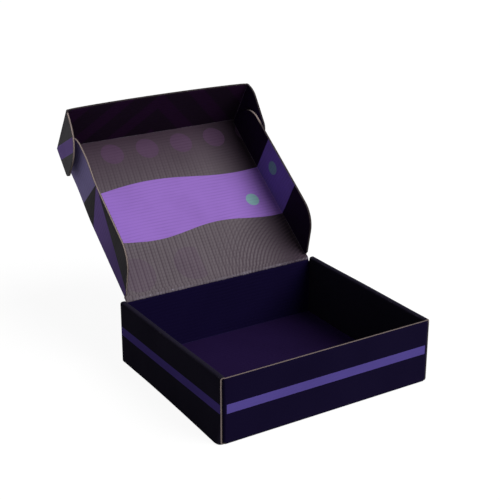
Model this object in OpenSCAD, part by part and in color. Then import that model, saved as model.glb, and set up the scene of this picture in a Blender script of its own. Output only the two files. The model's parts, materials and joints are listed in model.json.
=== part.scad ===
// Corrugated mailer box: a roll-end tray with a hinged lid, a tuck-in front flap, two dust flaps
// and two locking ears, all folded from one sheet of thin fluted board. Millimetres.
// Origin: centre of the tray's footprint, on the surface that it stands on.
// +X runs right along the front wall, +Y from the front wall to the back wall, +Z up.

/* [Board] */
// Thickness of the board
board_t = 1.7; // [1.4:0.1:2.4]
// Inside radius of a fold
fold_r = 0.3; // [0.1:0.05:0.6]
// Gap between two plies that lie against each other
ply_gap = 0.15; // [0.1:0.05:0.3]

/* [Tray] */
// Outside width of the tray
tray_w = 200; // [150:1:320]
// Outside depth of the tray
tray_d = 168; // [130:1:260]
// Height of the rolled side walls
side_h = 56.4; // [52:0.2:90]
// How far the raw top edges of the front and back walls lie below the side walls
wall_drop = 1; // [0.5:0.1:2]
// Length of the corner flaps held inside the side walls
corner_flap_l = 46; // [20:1:60]
// Length of one locking tab under an inner side panel
tab_l = 27; // [12:1:40]
// Distance between the centres of the two tabs of a side
tab_pitch = 62; // [45:1:80]
// Clearance round a tab in its floor slot
tab_clear = 0.15; // [0.1:0.05:0.3]
// How far a tab's end stays above the underside
tab_rise = 0.2; // [0.1:0.1:0.6]

/* [Lid] */
// Angle of the open lid above level
lid_lean = 38.4; // [10:0.1:80]
// Gap under the closed lid, and at every fold that moves
fold_gap = 0.3; // [0.2:0.05:0.5]
// Board left uncrushed between the lid's hinge line and its panel
hinge_gap = 0.5; // [0.4:0.1:0.8]
// Length of the crushed slope on the outside of the hinge fold
hinge_slope = 1.2; // [0.8:0.1:2]
// Distance of the closed lid's front edge from the front wall's inner face
front_clear = 1.3; // [1:0.1:3]
// Gap between a closed ear and the inner side panel
ear_clear = 0.35; // [0.25:0.05:0.8]
// Gap between a closed ear and the dust flap inside it
nest_clear = 0.45; // [0.35:0.05:0.9]

/* [Front flap] */
// Height of the tuck-in front flap
flap_h = 47; // [30:0.5:50]
// How far the front flap stands open past square
flap_open = 6.5; // [0:0.5:12]
// Radius of the front flap's free corners
flap_corner_r = 1.5; // [0.5:0.5:6]

/* [Ears] */
// Reach of an ear back from the front flap
ear_l = 39.5; // [25:0.5:55]
// Height of an ear at its fold
ear_h = 45; // [29:0.5:49]
// Fall of an ear's top edge, from its fold to its rear corner
ear_drop = 4; // [0:0.5:10]
// Radius of an ear's rear corner
ear_r = 26; // [10:0.5:26]
// Height of an ear's foot at its fold
ear_foot = 0.5; // [0.3:0.1:2]
// Height of an ear's foot at its tip
ear_tip_z = 1.5; // [1:0.5:6]
// Radius of an ear's tip
ear_tip_r = 7; // [2:0.5:8]
// How far an ear spreads outwards past square
ear_flare = 9; // [0:0.5:12]

/* [Dust flaps] */
// Height of a dust flap at its rounded front corner
dust_front_h = 37; // [20:0.5:45]
// Height of a dust flap at its rear corner
dust_rear_h = 38; // [20:0.5:45]
// Gap between a dust flap's foot and the lid's front edge
dust_setback = 5; // [3:0.5:10]
// Lean of a dust flap's front edge, from its foot to its top
dust_front_lean = 6.5; // [2:0.5:20]
// Radius of a dust flap's front corner
dust_front_r = 24; // [6:0.5:26]
// Length along the hinge side over which a dust flap narrows to nothing
dust_taper = 18; // [10:0.5:40]
// Radius of a dust flap's rear corner
dust_rear_r = 26; // [6:0.5:28]
// Radius of a dust flap's sharp foot corners
dust_foot_r = 1; // [0.5:0.5:2]

/* [Hidden] */

// Number of flats in a right-angled fold, and in a rounded corner of an outline
fold_n = 8;
round_n = 10;
// Share of the board's thickness that the outside corners of the lid are rounded by
corner_share = 0.7;
// Angle that the front and back walls' raw top edges follow round a corner
top_turn = 70;
// Width of floor that each wall profile carries
floor_lap = 8;

outer_r = board_t + fold_r;
strip_w = 3 * board_t + 2 * ply_gap;
inner_x = tray_w / 2 - strip_w;
end_h = side_h - wall_drop;
side_half = tray_d / 2 - board_t - ply_gap;
corner_x = tray_w / 2 - board_t - ply_gap;
end_half = corner_x - outer_r;
floor_top = board_t + ply_gap;
flap_top = side_h - board_t - ply_gap;

hinge_y = tray_d / 2;
hinge_z = side_h + fold_gap;
ear_half = inner_x - ear_clear;
lid_half = ear_half - board_t - nest_clear;
lid_l = tray_d - board_t - front_clear;
lid_corner_r = board_t * corner_share;

dust_inner_x = lid_half - board_t;
flap_axis_y = lid_l - board_t / 2;
ear_axis_x = ear_half - board_t / 2;
ear_axis_y = lid_l - board_t;

print_dark = [0.06, 0.04, 0.12];
print_taupe = [0.33, 0.30, 0.32];
print_violet = [0.27, 0.20, 0.48];
print_black = [0.04, 0.03, 0.06];

// A fold path is a list of moves [length, turn] made from a station [x, y, heading]
function straight(l) = [[l, 0]];
function bend(a) = let (part = a / fold_n)
    [for (i = [1 : fold_n]) [2 * outer_r * sin(part / 2), part]];
function moved(s, m) = let (h = s[2] + m[1] / 2)
    [s[0] + m[0] * cos(h), s[1] + m[0] * sin(h), s[2] + m[1]];
function walk(s, moves, i = 0) = i == len(moves)
    ? [s]
    : concat([s], walk(moved(s, moves[i]), moves, i + 1));
function on_inner_liner(s) = [s[0] - board_t * sin(s[2]), s[1] + board_t * cos(s[2])];

// Section of the board along a fold path that follows its outer liner and turns left
module folded_section(start, moves) {
    path = walk(start, moves);
    last = len(path) - 1;
    polygon(concat(
        [for (s = path) [s[0], s[1]]],
        [for (i = [last : -1 : 0]) on_inner_liner(path[i])]
    ));
}

// An outline given by its corners [x, y, radius], each rounded by an arc
function unit(v) = v / norm(v);
function at(c) = [c[0], c[1]];
function corner_arc(a, p, b, r) = r <= 0 ? [p] : let (
    u = unit(a - p),
    v = unit(b - p),
    half = acos(u * v) / 2,
    centre = p + unit(u + v) * r / sin(half),
    from = p + u * r / tan(half) - centre,
    to = p + v * r / tan(half) - centre,
    sweep = 180 - 2 * half
) [for (i = [0 : round_n])
    centre + (sin(sweep * (1 - i / round_n)) * from + sin(sweep * i / round_n) * to) / sin(sweep)];
function rounded(c) = let (n = len(c)) [
    for (i = [0 : n - 1])
        for (q = corner_arc(at(c[(i + n - 1) % n]), at(c[i]), at(c[(i + 1) % n]), c[i][2])) q
];

// Stands a section given in Y and Z along X, from x0 over length l
module along_x(x0, l) {
    translate([x0, 0, 0]) rotate([90, 0, 90]) linear_extrude(l) children();
}

// Stands a section given in X and Z along Y, from y0 over length l
module along_y(y0, l) {
    translate([0, y0 + l, 0]) rotate([90, 0, 0]) linear_extrude(l) children();
}

module both_sides() {
    children();
    mirror([1, 0, 0]) children();
}

module both_ends() {
    children();
    mirror([0, 1, 0]) children();
}

// Floor edge, outer panel, top strip and inner panel of the right-hand side wall
module rolled_side() {
    along_y(-side_half, 2 * side_half)
        folded_section([tray_w / 2 - outer_r - floor_lap, 0, 0], concat(
            straight(floor_lap),
            bend(90),
            straight(side_h - 2 * outer_r),
            bend(90),
            straight(strip_w - 2 * outer_r),
            bend(90),
            straight(side_h - outer_r - floor_top)
        ));
}

// A wall across the back, from the floor to height h over half width w
module end_wall(h, w) {
    along_x(-w, 2 * w)
        folded_section([tray_d / 2 - outer_r - floor_lap, 0, 0], concat(
            straight(floor_lap),
            bend(90),
            straight(h - outer_r)
        ));
}

// The front right corner: the wall turns back as a flap between the side wall's plies
module corner_flap() {
    start = [end_half - floor_lap, -tray_d / 2, 0];
    translate([0, 0, floor_top]) linear_extrude(flap_top - floor_top)
        folded_section(start, concat(straight(floor_lap), bend(90), straight(corner_flap_l)));
    translate([0, 0, floor_top]) linear_extrude(end_h - floor_top)
        folded_section(start, concat(straight(floor_lap), bend(top_turn)));
}

// A block at a locking tab's place, grown by a clearance
module at_tabs(clear, z0, z1) {
    for (end = [-1, 1])
        translate([inner_x - clear, end * tab_pitch / 2 - tab_l / 2 - clear, z0])
            cube([board_t + 2 * clear, tab_l + 2 * clear, z1 - z0]);
}

module tray() {
    color(print_dark) union() {
        difference() {
            union() {
                translate([outer_r - tray_w / 2, outer_r - tray_d / 2, 0])
                    cube([tray_w - 2 * outer_r, tray_d - 2 * outer_r, board_t]);
                both_sides() rolled_side();
            }
            both_sides() at_tabs(tab_clear, -board_t, board_t + ply_gap / 2);
        }
        both_sides() at_tabs(0, tab_rise, floor_top + board_t);
        both_ends() end_wall(end_h, end_half);
        end_wall(side_h, lid_half);
        both_sides() both_ends() corner_flap();
    }
}

// Puts what is drawn flat, hinge line on X and inner face up, onto the open lid
module on_lid() {
    translate([0, hinge_y, hinge_z]) rotate([lid_lean, 0, 0]) children();
}

module on_front_flap() {
    on_lid() translate([0, flap_axis_y, 0]) rotate([-flap_open, 0, 0])
        translate([0, -flap_axis_y, 0]) children();
}

module lid() {
    color(print_taupe) on_lid() intersection() {
        along_x(-lid_half, 2 * lid_half) polygon(rounded([
            [hinge_gap, 0, 0],
            [hinge_gap, -board_t / 2, 0],
            [hinge_gap + hinge_slope, -board_t, 0],
            [lid_l, -board_t, lid_corner_r],
            [lid_l, 0, 0]
        ]));
        along_y(0, lid_l) polygon(rounded([
            [-lid_half, 0, 0],
            [-lid_half, -board_t, lid_corner_r],
            [lid_half, -board_t, lid_corner_r],
            [lid_half, 0, 0]
        ]));
    }
}

// The right-hand dust flap, square to the lid
module dust_flap() {
    foot = lid_l - dust_setback;
    along_x(dust_inner_x, board_t) polygon(rounded([
        [hinge_gap + board_t, fold_gap, dust_foot_r],
        [foot, fold_gap, dust_foot_r],
        [foot - dust_front_lean, dust_front_h, dust_front_r],
        [hinge_gap + board_t + dust_taper, dust_rear_h, dust_rear_r]
    ]));
}

module right_side_flap() {
    color(print_black) on_lid() dust_flap();
}

module left_side_flap() {
    color(print_violet) on_lid() mirror([1, 0, 0]) dust_flap();
}

module front_flap() {
    color(print_dark) on_front_flap()
        along_y(lid_l - board_t, board_t) polygon(rounded([
            [-ear_half, fold_gap, 0],
            [ear_half, fold_gap, 0],
            [ear_half, flap_h, flap_corner_r],
            [-ear_half, flap_h, flap_corner_r]
        ]));
}

// The right-hand ear: tall at its fold, well rounded behind, spread outwards on the fold
module ear() {
    translate([ear_axis_x, ear_axis_y, 0]) rotate([0, 0, ear_flare]) translate([-ear_axis_x, 0, 0])
        along_x(ear_half - board_t, board_t) polygon(rounded([
            [-fold_gap, ear_foot, 0],
            [-fold_gap, ear_h, 0],
            [-ear_l, ear_h - ear_drop, ear_r],
            [-ear_l, ear_tip_z, ear_tip_r]
        ]));
}

module right_ear() {
    color(print_violet) on_front_flap() ear();
}

module left_ear() {
    color(print_taupe) on_front_flap() mirror([1, 0, 0]) ear();
}

tray();
lid();
left_side_flap();
right_side_flap();
front_flap();
left_ear();
right_ear();
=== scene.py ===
"""Dresses the corrugated mailer box: printed panels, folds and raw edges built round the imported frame.

Sizes are in millimetres and angles in degrees up to the point where a mesh or a node is made. The board is
one sheet, so every panel carries the same UV map: the place of each point on the unfolded sheet, in metres.
U runs along the flutes, V across them, and V is 0 on the lid's hinge line.
"""

import json
import logging
import math
from collections.abc import Callable, Sequence
from dataclasses import dataclass, field
from enum import Enum, IntEnum

import bpy
import numpy as np
from mathutils import Matrix, Vector
from numpy.typing import NDArray


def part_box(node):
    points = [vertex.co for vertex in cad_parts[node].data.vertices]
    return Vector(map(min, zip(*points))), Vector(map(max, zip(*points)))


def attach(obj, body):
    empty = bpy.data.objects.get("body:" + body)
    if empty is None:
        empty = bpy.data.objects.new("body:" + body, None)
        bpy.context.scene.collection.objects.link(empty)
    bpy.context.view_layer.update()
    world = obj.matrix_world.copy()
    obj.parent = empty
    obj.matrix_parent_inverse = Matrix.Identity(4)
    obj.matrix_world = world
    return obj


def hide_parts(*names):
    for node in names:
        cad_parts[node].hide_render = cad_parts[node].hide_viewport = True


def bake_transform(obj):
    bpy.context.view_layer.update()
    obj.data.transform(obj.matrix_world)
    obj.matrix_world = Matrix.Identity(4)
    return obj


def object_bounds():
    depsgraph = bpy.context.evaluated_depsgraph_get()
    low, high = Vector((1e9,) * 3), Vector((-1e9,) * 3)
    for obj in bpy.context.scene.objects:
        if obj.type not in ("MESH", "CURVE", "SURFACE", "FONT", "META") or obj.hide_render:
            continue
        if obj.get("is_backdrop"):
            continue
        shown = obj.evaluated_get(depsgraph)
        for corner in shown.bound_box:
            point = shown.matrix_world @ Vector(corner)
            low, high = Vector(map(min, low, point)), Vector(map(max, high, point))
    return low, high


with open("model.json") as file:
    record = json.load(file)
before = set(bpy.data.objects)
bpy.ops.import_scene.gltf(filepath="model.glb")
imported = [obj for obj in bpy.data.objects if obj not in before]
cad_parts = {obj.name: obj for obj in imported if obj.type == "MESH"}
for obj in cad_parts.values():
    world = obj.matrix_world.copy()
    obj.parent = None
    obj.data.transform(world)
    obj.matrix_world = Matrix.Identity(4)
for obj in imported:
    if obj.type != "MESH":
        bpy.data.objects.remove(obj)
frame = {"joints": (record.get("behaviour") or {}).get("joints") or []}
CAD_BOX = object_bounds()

log = logging.getLogger("mailer_box")

Array = NDArray[np.float64]
Triple = tuple[float, float, float]
Place = Callable[[Array, Array], Array]
Object = bpy.types.Object
Material = bpy.types.Material
NodeTree = bpy.types.NodeTree
Socket = bpy.types.NodeSocket

MM = 0.001
TINY = 0.01
SMOOTH_ANGLE = 40.0
SHEET_MAP = "sheet"
WEAR = "wear"
BLACK = (0.0, 0.0, 0.0, 1.0)


class Layer(IntEnum):
    """Material slots of a board piece: its two liners on either side of a fold, and its cut edge."""

    INSIDE = 0
    OUTSIDE = 1
    INSIDE_PAST_FOLD = 2
    OUTSIDE_PAST_FOLD = 3
    RAW_EDGE = 4


Layers = dict[Layer, Material]


class Side(Enum):
    """The two hands of the box, with the sign of X on each."""

    LEFT = -1
    RIGHT = 1

    @property
    def word(self) -> str:
        """The side as the names of pieces and bodies say it."""
        return self.name.lower()


@dataclass(frozen=True)
class Board:
    """The corrugated board that the whole box is folded from."""

    thickness: float = 1.7
    fold_r: float = 0.3
    ply_gap: float = 0.15
    flute_pitch: float = 3.2
    edge_round: float = 0.22

    @property
    def outer_r(self) -> float:
        """Radius of the outer liner round a fold."""
        return self.thickness + self.fold_r


@dataclass(frozen=True)
class BoxSizes:
    """Main sizes of the box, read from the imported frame."""

    half_w: float
    half_d: float
    side_h: float
    hinge_y: float
    hinge_z: float
    lean: float
    flap_axis: float
    flap_open: float

    @classmethod
    def from_frame(cls) -> "BoxSizes":
        """Works the sizes out from the tray's box and from the joints.

        Returns:
            The sizes in millimetres, and the angles in degrees.
        """
        joints = {joint["name"]: joint for joint in frame["joints"]}
        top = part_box("tray")[1] / MM
        hinge = np.array(joints["lid_hinge"]["pos_m"]) / MM
        flap = np.array(joints["front_flap_hinge"]["pos_m"]) / MM
        along_lid = joints["left_flap_hinge"]["axis"]
        up_flap = joints["right_ear_hinge"]["axis"]
        lean = math.degrees(math.atan2(along_lid[2], along_lid[1]))
        flap_lean = math.degrees(math.atan2(up_flap[2], up_flap[1]))
        return cls(
            half_w=top.x,
            half_d=hinge[1],
            side_h=top.z,
            hinge_y=hinge[1],
            hinge_z=hinge[2],
            lean=lean,
            flap_axis=float(np.hypot(*(flap - hinge)[1:])),
            flap_open=lean + 90.0 - flap_lean,
        )


def spaced(*stops: float, step: float = 3.0) -> Array:
    """Stations on every stop and evenly between them, at most a step apart.

    Args:
        stops: places that a station must lie on, in order.
        step: widest distance between two stations.

    Returns:
        The stations in order.
    """
    parts = [
        np.linspace(a, b, max(1, math.ceil(abs(b - a) / step)) + 1)[:-1]
        for a, b in zip(stops, stops[1:])
    ]
    return np.concatenate([*parts, [stops[-1]]])


def peak(values: Array, middle: float, width: float) -> Array:
    """A bell curve of height 1."""
    return np.exp(-((values - middle) / width) ** 2)


def heading_vector(degrees: Array | float) -> Array:
    """Unit vector, or vectors, of a heading in a plane."""
    radians = np.radians(degrees)
    return np.stack([np.cos(radians), np.sin(radians)], axis=-1)


@dataclass(frozen=True)
class FoldPath:
    """The line of the outer liner through a section of the board, seen end on.

    The inner liner lies to the left of the line, one board thickness away.
    """

    outer: Array
    heading: Array
    run: Array

    @classmethod
    def walk(cls, start: Sequence[float], heading: float, moves: Sequence[tuple[float, float]],
             step: float = 3.0, arc_step: float = 9.0) -> "FoldPath":
        """Follows straight stretches and arcs from a start.

        Args:
            start: first point of the outer liner.
            heading: direction of the first move.
            moves: (length, 0) for a straight stretch, or (radius, turn) for an arc to the left.
            step: widest distance between stations on a straight stretch.
            arc_step: widest angle between stations on an arc.

        Returns:
            The path, with its stations in order.
        """
        points = [np.array([start], float)]
        headings = [np.array([heading], float)]
        for size, turn in moves:
            at = points[-1][-1]
            now = headings[-1][-1]
            if turn == 0.0:
                stations = spaced(0.0, size, step=step)[1:]
                points.append(at + stations[:, None] * heading_vector(now))
                headings.append(np.full(len(stations), now))
            else:
                swept = spaced(0.0, turn, step=arc_step)[1:]
                centre = at + size * heading_vector(now + 90.0)
                points.append(centre + size * heading_vector(now + swept - 90.0))
                headings.append(now + swept)
        outer = np.concatenate(points)
        steps = np.hypot(*np.diff(outer, axis=0).T)
        return cls(outer, np.concatenate(headings), np.concatenate([[0.0], np.cumsum(steps)]))

    @classmethod
    def between(cls, start: Sequence[float], heading: float, end: Sequence[float], turn: float,
                radius: float) -> "FoldPath":
        """A straight stretch, one fold and a straight stretch that ends at a given point.

        Args:
            start: first point of the outer liner.
            heading: direction of the first stretch.
            end: last point of the outer liner.
            turn: angle of the fold, to the left.
            radius: radius of the outer liner round the fold.

        Returns:
            The path, whose two stretches lie on the lines through start and end.
        """
        first = heading_vector(heading)
        last = heading_vector(heading + turn)
        reach = np.linalg.solve(np.stack([first, last], axis=1), np.subtract(end, start))
        cut = radius * math.tan(math.radians(turn) / 2)
        return cls.walk(start, heading, [(reach[0] - cut, 0.0), (radius, turn), (reach[1] - cut, 0.0)])

    def inner(self, thickness: float) -> Array:
        """The inner liner's points, offset to the left by the board's thickness."""
        return self.outer + thickness * heading_vector(self.heading + 90.0)

    @property
    def share(self) -> Array:
        """Distance along the path at each station, from 0 at its start to 1 at its end."""
        return self.run / self.run[-1]


def bezier(controls: Sequence[Sequence[float]], count: int) -> Array:
    """Points on a cubic curve with four control points, by its Bernstein form.

    Args:
        controls: the four control points.
        count: number of points.

    Returns:
        The points, from the first control to the last.
    """
    t = np.linspace(0.0, 1.0, count)[:, None]
    a, b, c, d = (np.array(p, float) for p in controls)
    return a * (1 - t) ** 3 + 3 * b * t * (1 - t) ** 2 + 3 * c * t * t * (1 - t) + d * t ** 3


def rounded_chain(corners: Sequence[Triple], count: int = 12) -> Array:
    """An open line through corners, each inner one rounded by a circular arc.

    Args:
        corners: (first coordinate, second coordinate, radius) of each corner.
        count: number of points on each arc.

    Returns:
        The points of the line.
    """
    places = np.array([corner[:2] for corner in corners], float)
    points = [places[:1]]
    for before, at, after, corner in zip(places, places[1:], places[2:], corners[1:]):
        towards = (before - at) / np.linalg.norm(before - at)
        away = (after - at) / np.linalg.norm(after - at)
        half = math.acos(float(towards @ away)) / 2
        middle = towards + away
        centre = at + middle / np.linalg.norm(middle) * corner[2] / math.sin(half)
        first = at + towards * corner[2] / math.tan(half) - centre
        last = at + away * corner[2] / math.tan(half) - centre
        sweep = math.pi - 2 * half
        t = np.linspace(0.0, sweep, count)[:, None]
        points.append(centre + (np.sin(sweep - t) * first + np.sin(t) * last) / math.sin(sweep))
    points.append(places[-1:])
    return np.concatenate(points)


def resampled(chain: Array, count: int, trim: float = 0.0) -> Array:
    """The same line with evenly spaced points, cut short at its end.

    Args:
        chain: points of the line.
        count: number of points wanted.
        trim: length left off the end.

    Returns:
        The new points.
    """
    run = np.concatenate([[0.0], np.cumsum(np.hypot(*np.diff(chain, axis=0).T))])
    stations = np.linspace(0.0, run[-1] - trim, count)
    return np.stack([np.interp(stations, run, chain[:, k]) for k in (0, 1)], axis=-1)


def ruled(low: Array, high: Array, count: int) -> Array:
    """A flat grid of straight rungs between two lines with the same number of points.

    Args:
        low: points of the first line.
        high: points of the second line.
        count: number of points on each rung.

    Returns:
        The grid, by line point and rung point.
    """
    v = np.linspace(0.0, 1.0, count)[None, :, None]
    return low[:, None] * (1 - v) + high[:, None] * v


def stacked(*parts: Array | float) -> Array:
    """One array of points from its coordinates, each broadcast to the others."""
    return np.stack(np.broadcast_arrays(*parts), axis=-1).astype(float)


def turned(points: Array, axis: int, pivot: Sequence[float], degrees: float) -> Array:
    """Points turned about a line through pivot, parallel to a coordinate axis.

    Args:
        points: array whose last axis holds X, Y and Z.
        axis: number of the coordinate axis.
        pivot: a point on the line.
        degrees: angle, by the right-hand rule.

    Returns:
        The turned points.
    """
    spin = np.array(Matrix.Rotation(math.radians(degrees), 3, "XYZ"[axis]))
    return (points - np.array(pivot)) @ spin.T + np.array(pivot)


@dataclass(frozen=True)
class Seats:
    """Where the panels sit: turns flat coordinates (X, along the lid, off the lid) into the box's frame."""

    sizes: BoxSizes
    board: Board
    ear_flare: float = 9.0

    @property
    def lid_length(self) -> float:
        """Distance of the lid's front edge from its hinge line."""
        return self.sizes.flap_axis + self.board.thickness / 2

    @property
    def ear_axis(self) -> Triple:
        """A point on the right ear's fold line, in the lid's flat coordinates."""
        joint = next(j for j in frame["joints"] if j["name"] == "right_ear_hinge")
        return joint["pos_m"][0] / MM, self.lid_length - self.board.thickness, 0.0

    def on_lid(self, points: Array) -> Array:
        """Points of the lid, turned up by its lean and moved to the hinge line."""
        return turned(points, 0, (0, 0, 0), self.sizes.lean) + [0, self.sizes.hinge_y, self.sizes.hinge_z]

    def on_front_flap(self, points: Array) -> Array:
        """Points of the front flap, opened past square about its fold."""
        return self.on_lid(turned(points, 0, (0, self.sizes.flap_axis, 0), -self.sizes.flap_open))

    def on_ear(self, side: Side) -> Callable[[Array], Array]:
        """The seat of an ear: drawn on the right, spread outwards, then mirrored if it is the left one.

        Args:
            side: which ear.

        Returns:
            A function that turns the ear's flat points into the box's frame.
        """
        def place(points: Array) -> Array:
            """Points of that ear in the box's frame."""
            spread = turned(points, 2, self.ear_axis, self.ear_flare)
            return self.on_front_flap(spread * [side.value, 1, 1])
        return place


@dataclass
class Shell:
    """One closed stretch of board as plain arrays, ready to be joined to others in a mesh."""

    points: Array
    quads: NDArray[np.int64]
    uv: Array
    layer: NDArray[np.int64]
    wear: Array
    cut_lines: NDArray[np.int64]


def board_shell(inner: Array, outer: Array, sheet: Array, keep: NDArray[np.bool_] | None = None,
                past_fold: NDArray[np.bool_] | None = None, wear: Array | float = 0.0,
                seams: Sequence[str] = ()) -> Shell:
    """Closes two liners, given as grids of points, with a wall along every open side.

    A cell's side is open where no neighbour's side runs the other way along it.

    Args:
        inner: points of the inner liner, by first and second grid direction.
        outer: points of the outer liner, in the same grid.
        sheet: place of each point on the unfolded sheet.
        keep: which cells of the grid are there; the others are slots and notches.
        past_fold: which cells take the print of the panel behind the fold.
        wear: how scuffed each point is, from 0 to 1.
        seams: sides of the grid, of u0, u1, v0 and v1, that meet another piece and stay sharp.

    Returns:
        The shell.
    """
    nu, nv = inner.shape[:2]
    total = nu * nv
    index = np.arange(total).reshape(nu, nv)
    keep = np.ones((nu - 1, nv - 1), bool) if keep is None else keep
    past_fold = np.zeros((nu - 1, nv - 1), bool) if past_fold is None else past_fold
    corners = np.stack([index[:-1, :-1], index[1:, :-1], index[1:, 1:], index[:-1, 1:]], axis=-1)[keep]
    normal = np.cross(inner[1:, :-1] - inner[:-1, :-1], inner[:-1, 1:] - inner[:-1, :-1])[keep]
    depth = (inner - outer)[:-1, :-1][keep]
    if np.sum(normal * depth) < 0:
        corners = corners[:, ::-1]
    edges = np.stack([corners, np.roll(corners, -1, axis=1)], axis=-1).reshape(-1, 2)
    forward = edges[:, 0] * total + edges[:, 1]
    backward = edges[:, 1] * total + edges[:, 0]
    rim = edges[~np.isin(forward, backward)]
    walls = np.stack([rim[:, 1], rim[:, 0], rim[:, 0] + total, rim[:, 1] + total], axis=-1)
    flat_sheet = sheet.reshape(-1, 2)
    liner_uv = flat_sheet[corners]
    gap = np.linalg.norm((inner - outer).reshape(-1, 3), axis=1)
    across = flat_sheet[:, 1]
    last, first = rim[:, 1], rim[:, 0]
    wall_uv = np.stack([
        stacked(0.0, across[last]), stacked(0.0, across[first]),
        stacked(gap[first], across[first]), stacked(gap[last], across[last]),
    ], axis=1)
    behind = past_fold[keep].astype(int) * 2
    walled = np.full(len(rim), Layer.RAW_EDGE)
    layer = np.concatenate([behind + Layer.INSIDE, behind + Layer.OUTSIDE, walled])
    worn = np.broadcast_to(np.asarray(wear, float), (nu, nv)).reshape(-1)
    iu, iv = np.divmod(rim, nv)
    on_seam = np.zeros(len(rim), bool)
    for name, place, last in (("u0", iu, 0), ("u1", iu, nu - 1), ("v0", iv, 0), ("v1", iv, nv - 1)):
        if name in seams:
            on_seam |= (place == last).all(axis=1)
    cut = rim[~on_seam]
    return Shell(
        points=np.concatenate([inner.reshape(-1, 3), outer.reshape(-1, 3)]),
        quads=np.concatenate([corners, corners[:, ::-1] + total, walls]),
        uv=np.concatenate([liner_uv, liner_uv[:, ::-1], wall_uv]),
        layer=layer,
        wear=np.concatenate([worn, worn]),
        cut_lines=np.concatenate([cut, cut + total]),
    )


@dataclass
class BoardPiece:
    """A piece of board made of one or more shells, which becomes one Blender object."""

    name: str
    board: Board
    shells: list[Shell] = field(default_factory=list)

    def add(self, shell: Shell) -> None:
        """Joins a shell to the piece."""
        self.shells.append(shell)

    def build(self, layers: Layers) -> Object:
        """Makes the mesh, rounds its cut edges and gives it its materials.

        Args:
            layers: the material of each layer; a layer left out takes that of the inside.

        Returns:
            The object, at the origin, in metres.
        """
        starts = np.cumsum([0] + [len(shell.points) for shell in self.shells[:-1]])
        points = np.concatenate([shell.points for shell in self.shells]) * MM
        quads = np.concatenate([shell.quads + s for shell, s in zip(self.shells, starts)])
        cut = np.concatenate([shell.cut_lines + s for shell, s in zip(self.shells, starts)])
        mesh = bpy.data.meshes.new(self.name)
        mesh.vertices.add(len(points))
        mesh.vertices.foreach_set("co", points.astype(np.float32).ravel())
        mesh.loops.add(quads.size)
        mesh.loops.foreach_set("vertex_index", quads.astype(np.int32).ravel())
        mesh.polygons.add(len(quads))
        mesh.polygons.foreach_set("loop_start", np.arange(0, quads.size, 4, dtype=np.int32))
        mesh.polygons.foreach_set("material_index", self._joined("layer").astype(np.int32))
        mesh.update(calc_edges=True)
        uv = mesh.uv_layers.new(name=SHEET_MAP)
        uv.data.foreach_set("uv", (self._joined("uv") * MM).astype(np.float32).ravel())
        wear = mesh.attributes.new(WEAR, "FLOAT", "POINT")
        wear.data.foreach_set("value", self._joined("wear").astype(np.float32))
        for layer in Layer:
            mesh.materials.append(layers.get(layer, layers[Layer.INSIDE]))
        self._weigh_cut_lines(mesh, cut)
        piece = bpy.data.objects.new(self.name, mesh)
        bpy.context.scene.collection.objects.link(piece)
        self._round_edges(piece)
        log.info("%s: %d faces", self.name, len(piece.data.polygons))
        return piece

    def _joined(self, part: str) -> Array:
        """One array of a shell's field, over all the shells."""
        return np.concatenate([getattr(shell, part) for shell in self.shells])

    @staticmethod
    def _weigh_cut_lines(mesh: bpy.types.Mesh, cut: NDArray[np.int64]) -> None:
        """Marks the edges along the cut lines for the bevel.

        Args:
            mesh: the piece's mesh.
            cut: the two points of each cut edge.
        """
        pairs = np.empty(len(mesh.edges) * 2, np.int32)
        mesh.edges.foreach_get("vertices", pairs)
        pairs = np.sort(pairs.reshape(-1, 2), axis=1).astype(np.int64)
        wanted = np.sort(cut, axis=1)
        count = len(mesh.vertices)
        marked = np.isin(pairs[:, 0] * count + pairs[:, 1], wanted[:, 0] * count + wanted[:, 1])
        weights = mesh.attributes.new("bevel_weight_edge", "FLOAT", "EDGE")
        weights.data.foreach_set("value", marked.astype(np.float32))

    def _round_edges(self, piece: Object) -> None:
        """Rounds the marked edges, keeps the result and shades smooth across flat angles.

        Args:
            piece: the object, whose mesh is replaced.
        """
        bevel = piece.modifiers.new("edge_round", "BEVEL")
        bevel.limit_method = "WEIGHT"
        bevel.width = self.board.edge_round * MM
        bevel.segments = 2
        graph = bpy.context.evaluated_depsgraph_get()
        rough = piece.data
        piece.data = bpy.data.meshes.new_from_object(
            piece.evaluated_get(graph), preserve_all_data_layers=True, depsgraph=graph)
        piece.modifiers.clear()
        bpy.data.meshes.remove(rough)
        piece.data.name = self.name
        piece.data.polygons.foreach_set("use_smooth", np.ones(len(piece.data.polygons), bool))
        piece.data.set_sharp_from_angle(angle=math.radians(SMOOTH_ANGLE))


@dataclass(frozen=True)
class Ink:
    """A printed colour, written as 8-bit sRGB."""

    red: int
    green: int
    blue: int

    @property
    def linear(self) -> tuple[float, float, float, float]:
        """The colour in linear light, with alpha 1."""
        part = np.array([self.red, self.green, self.blue]) / 255
        light = np.where(part <= 0.04045, part / 12.92, ((part + 0.055) / 1.055) ** 2.4)
        return (*(float(x) for x in light), 1.0)


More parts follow.
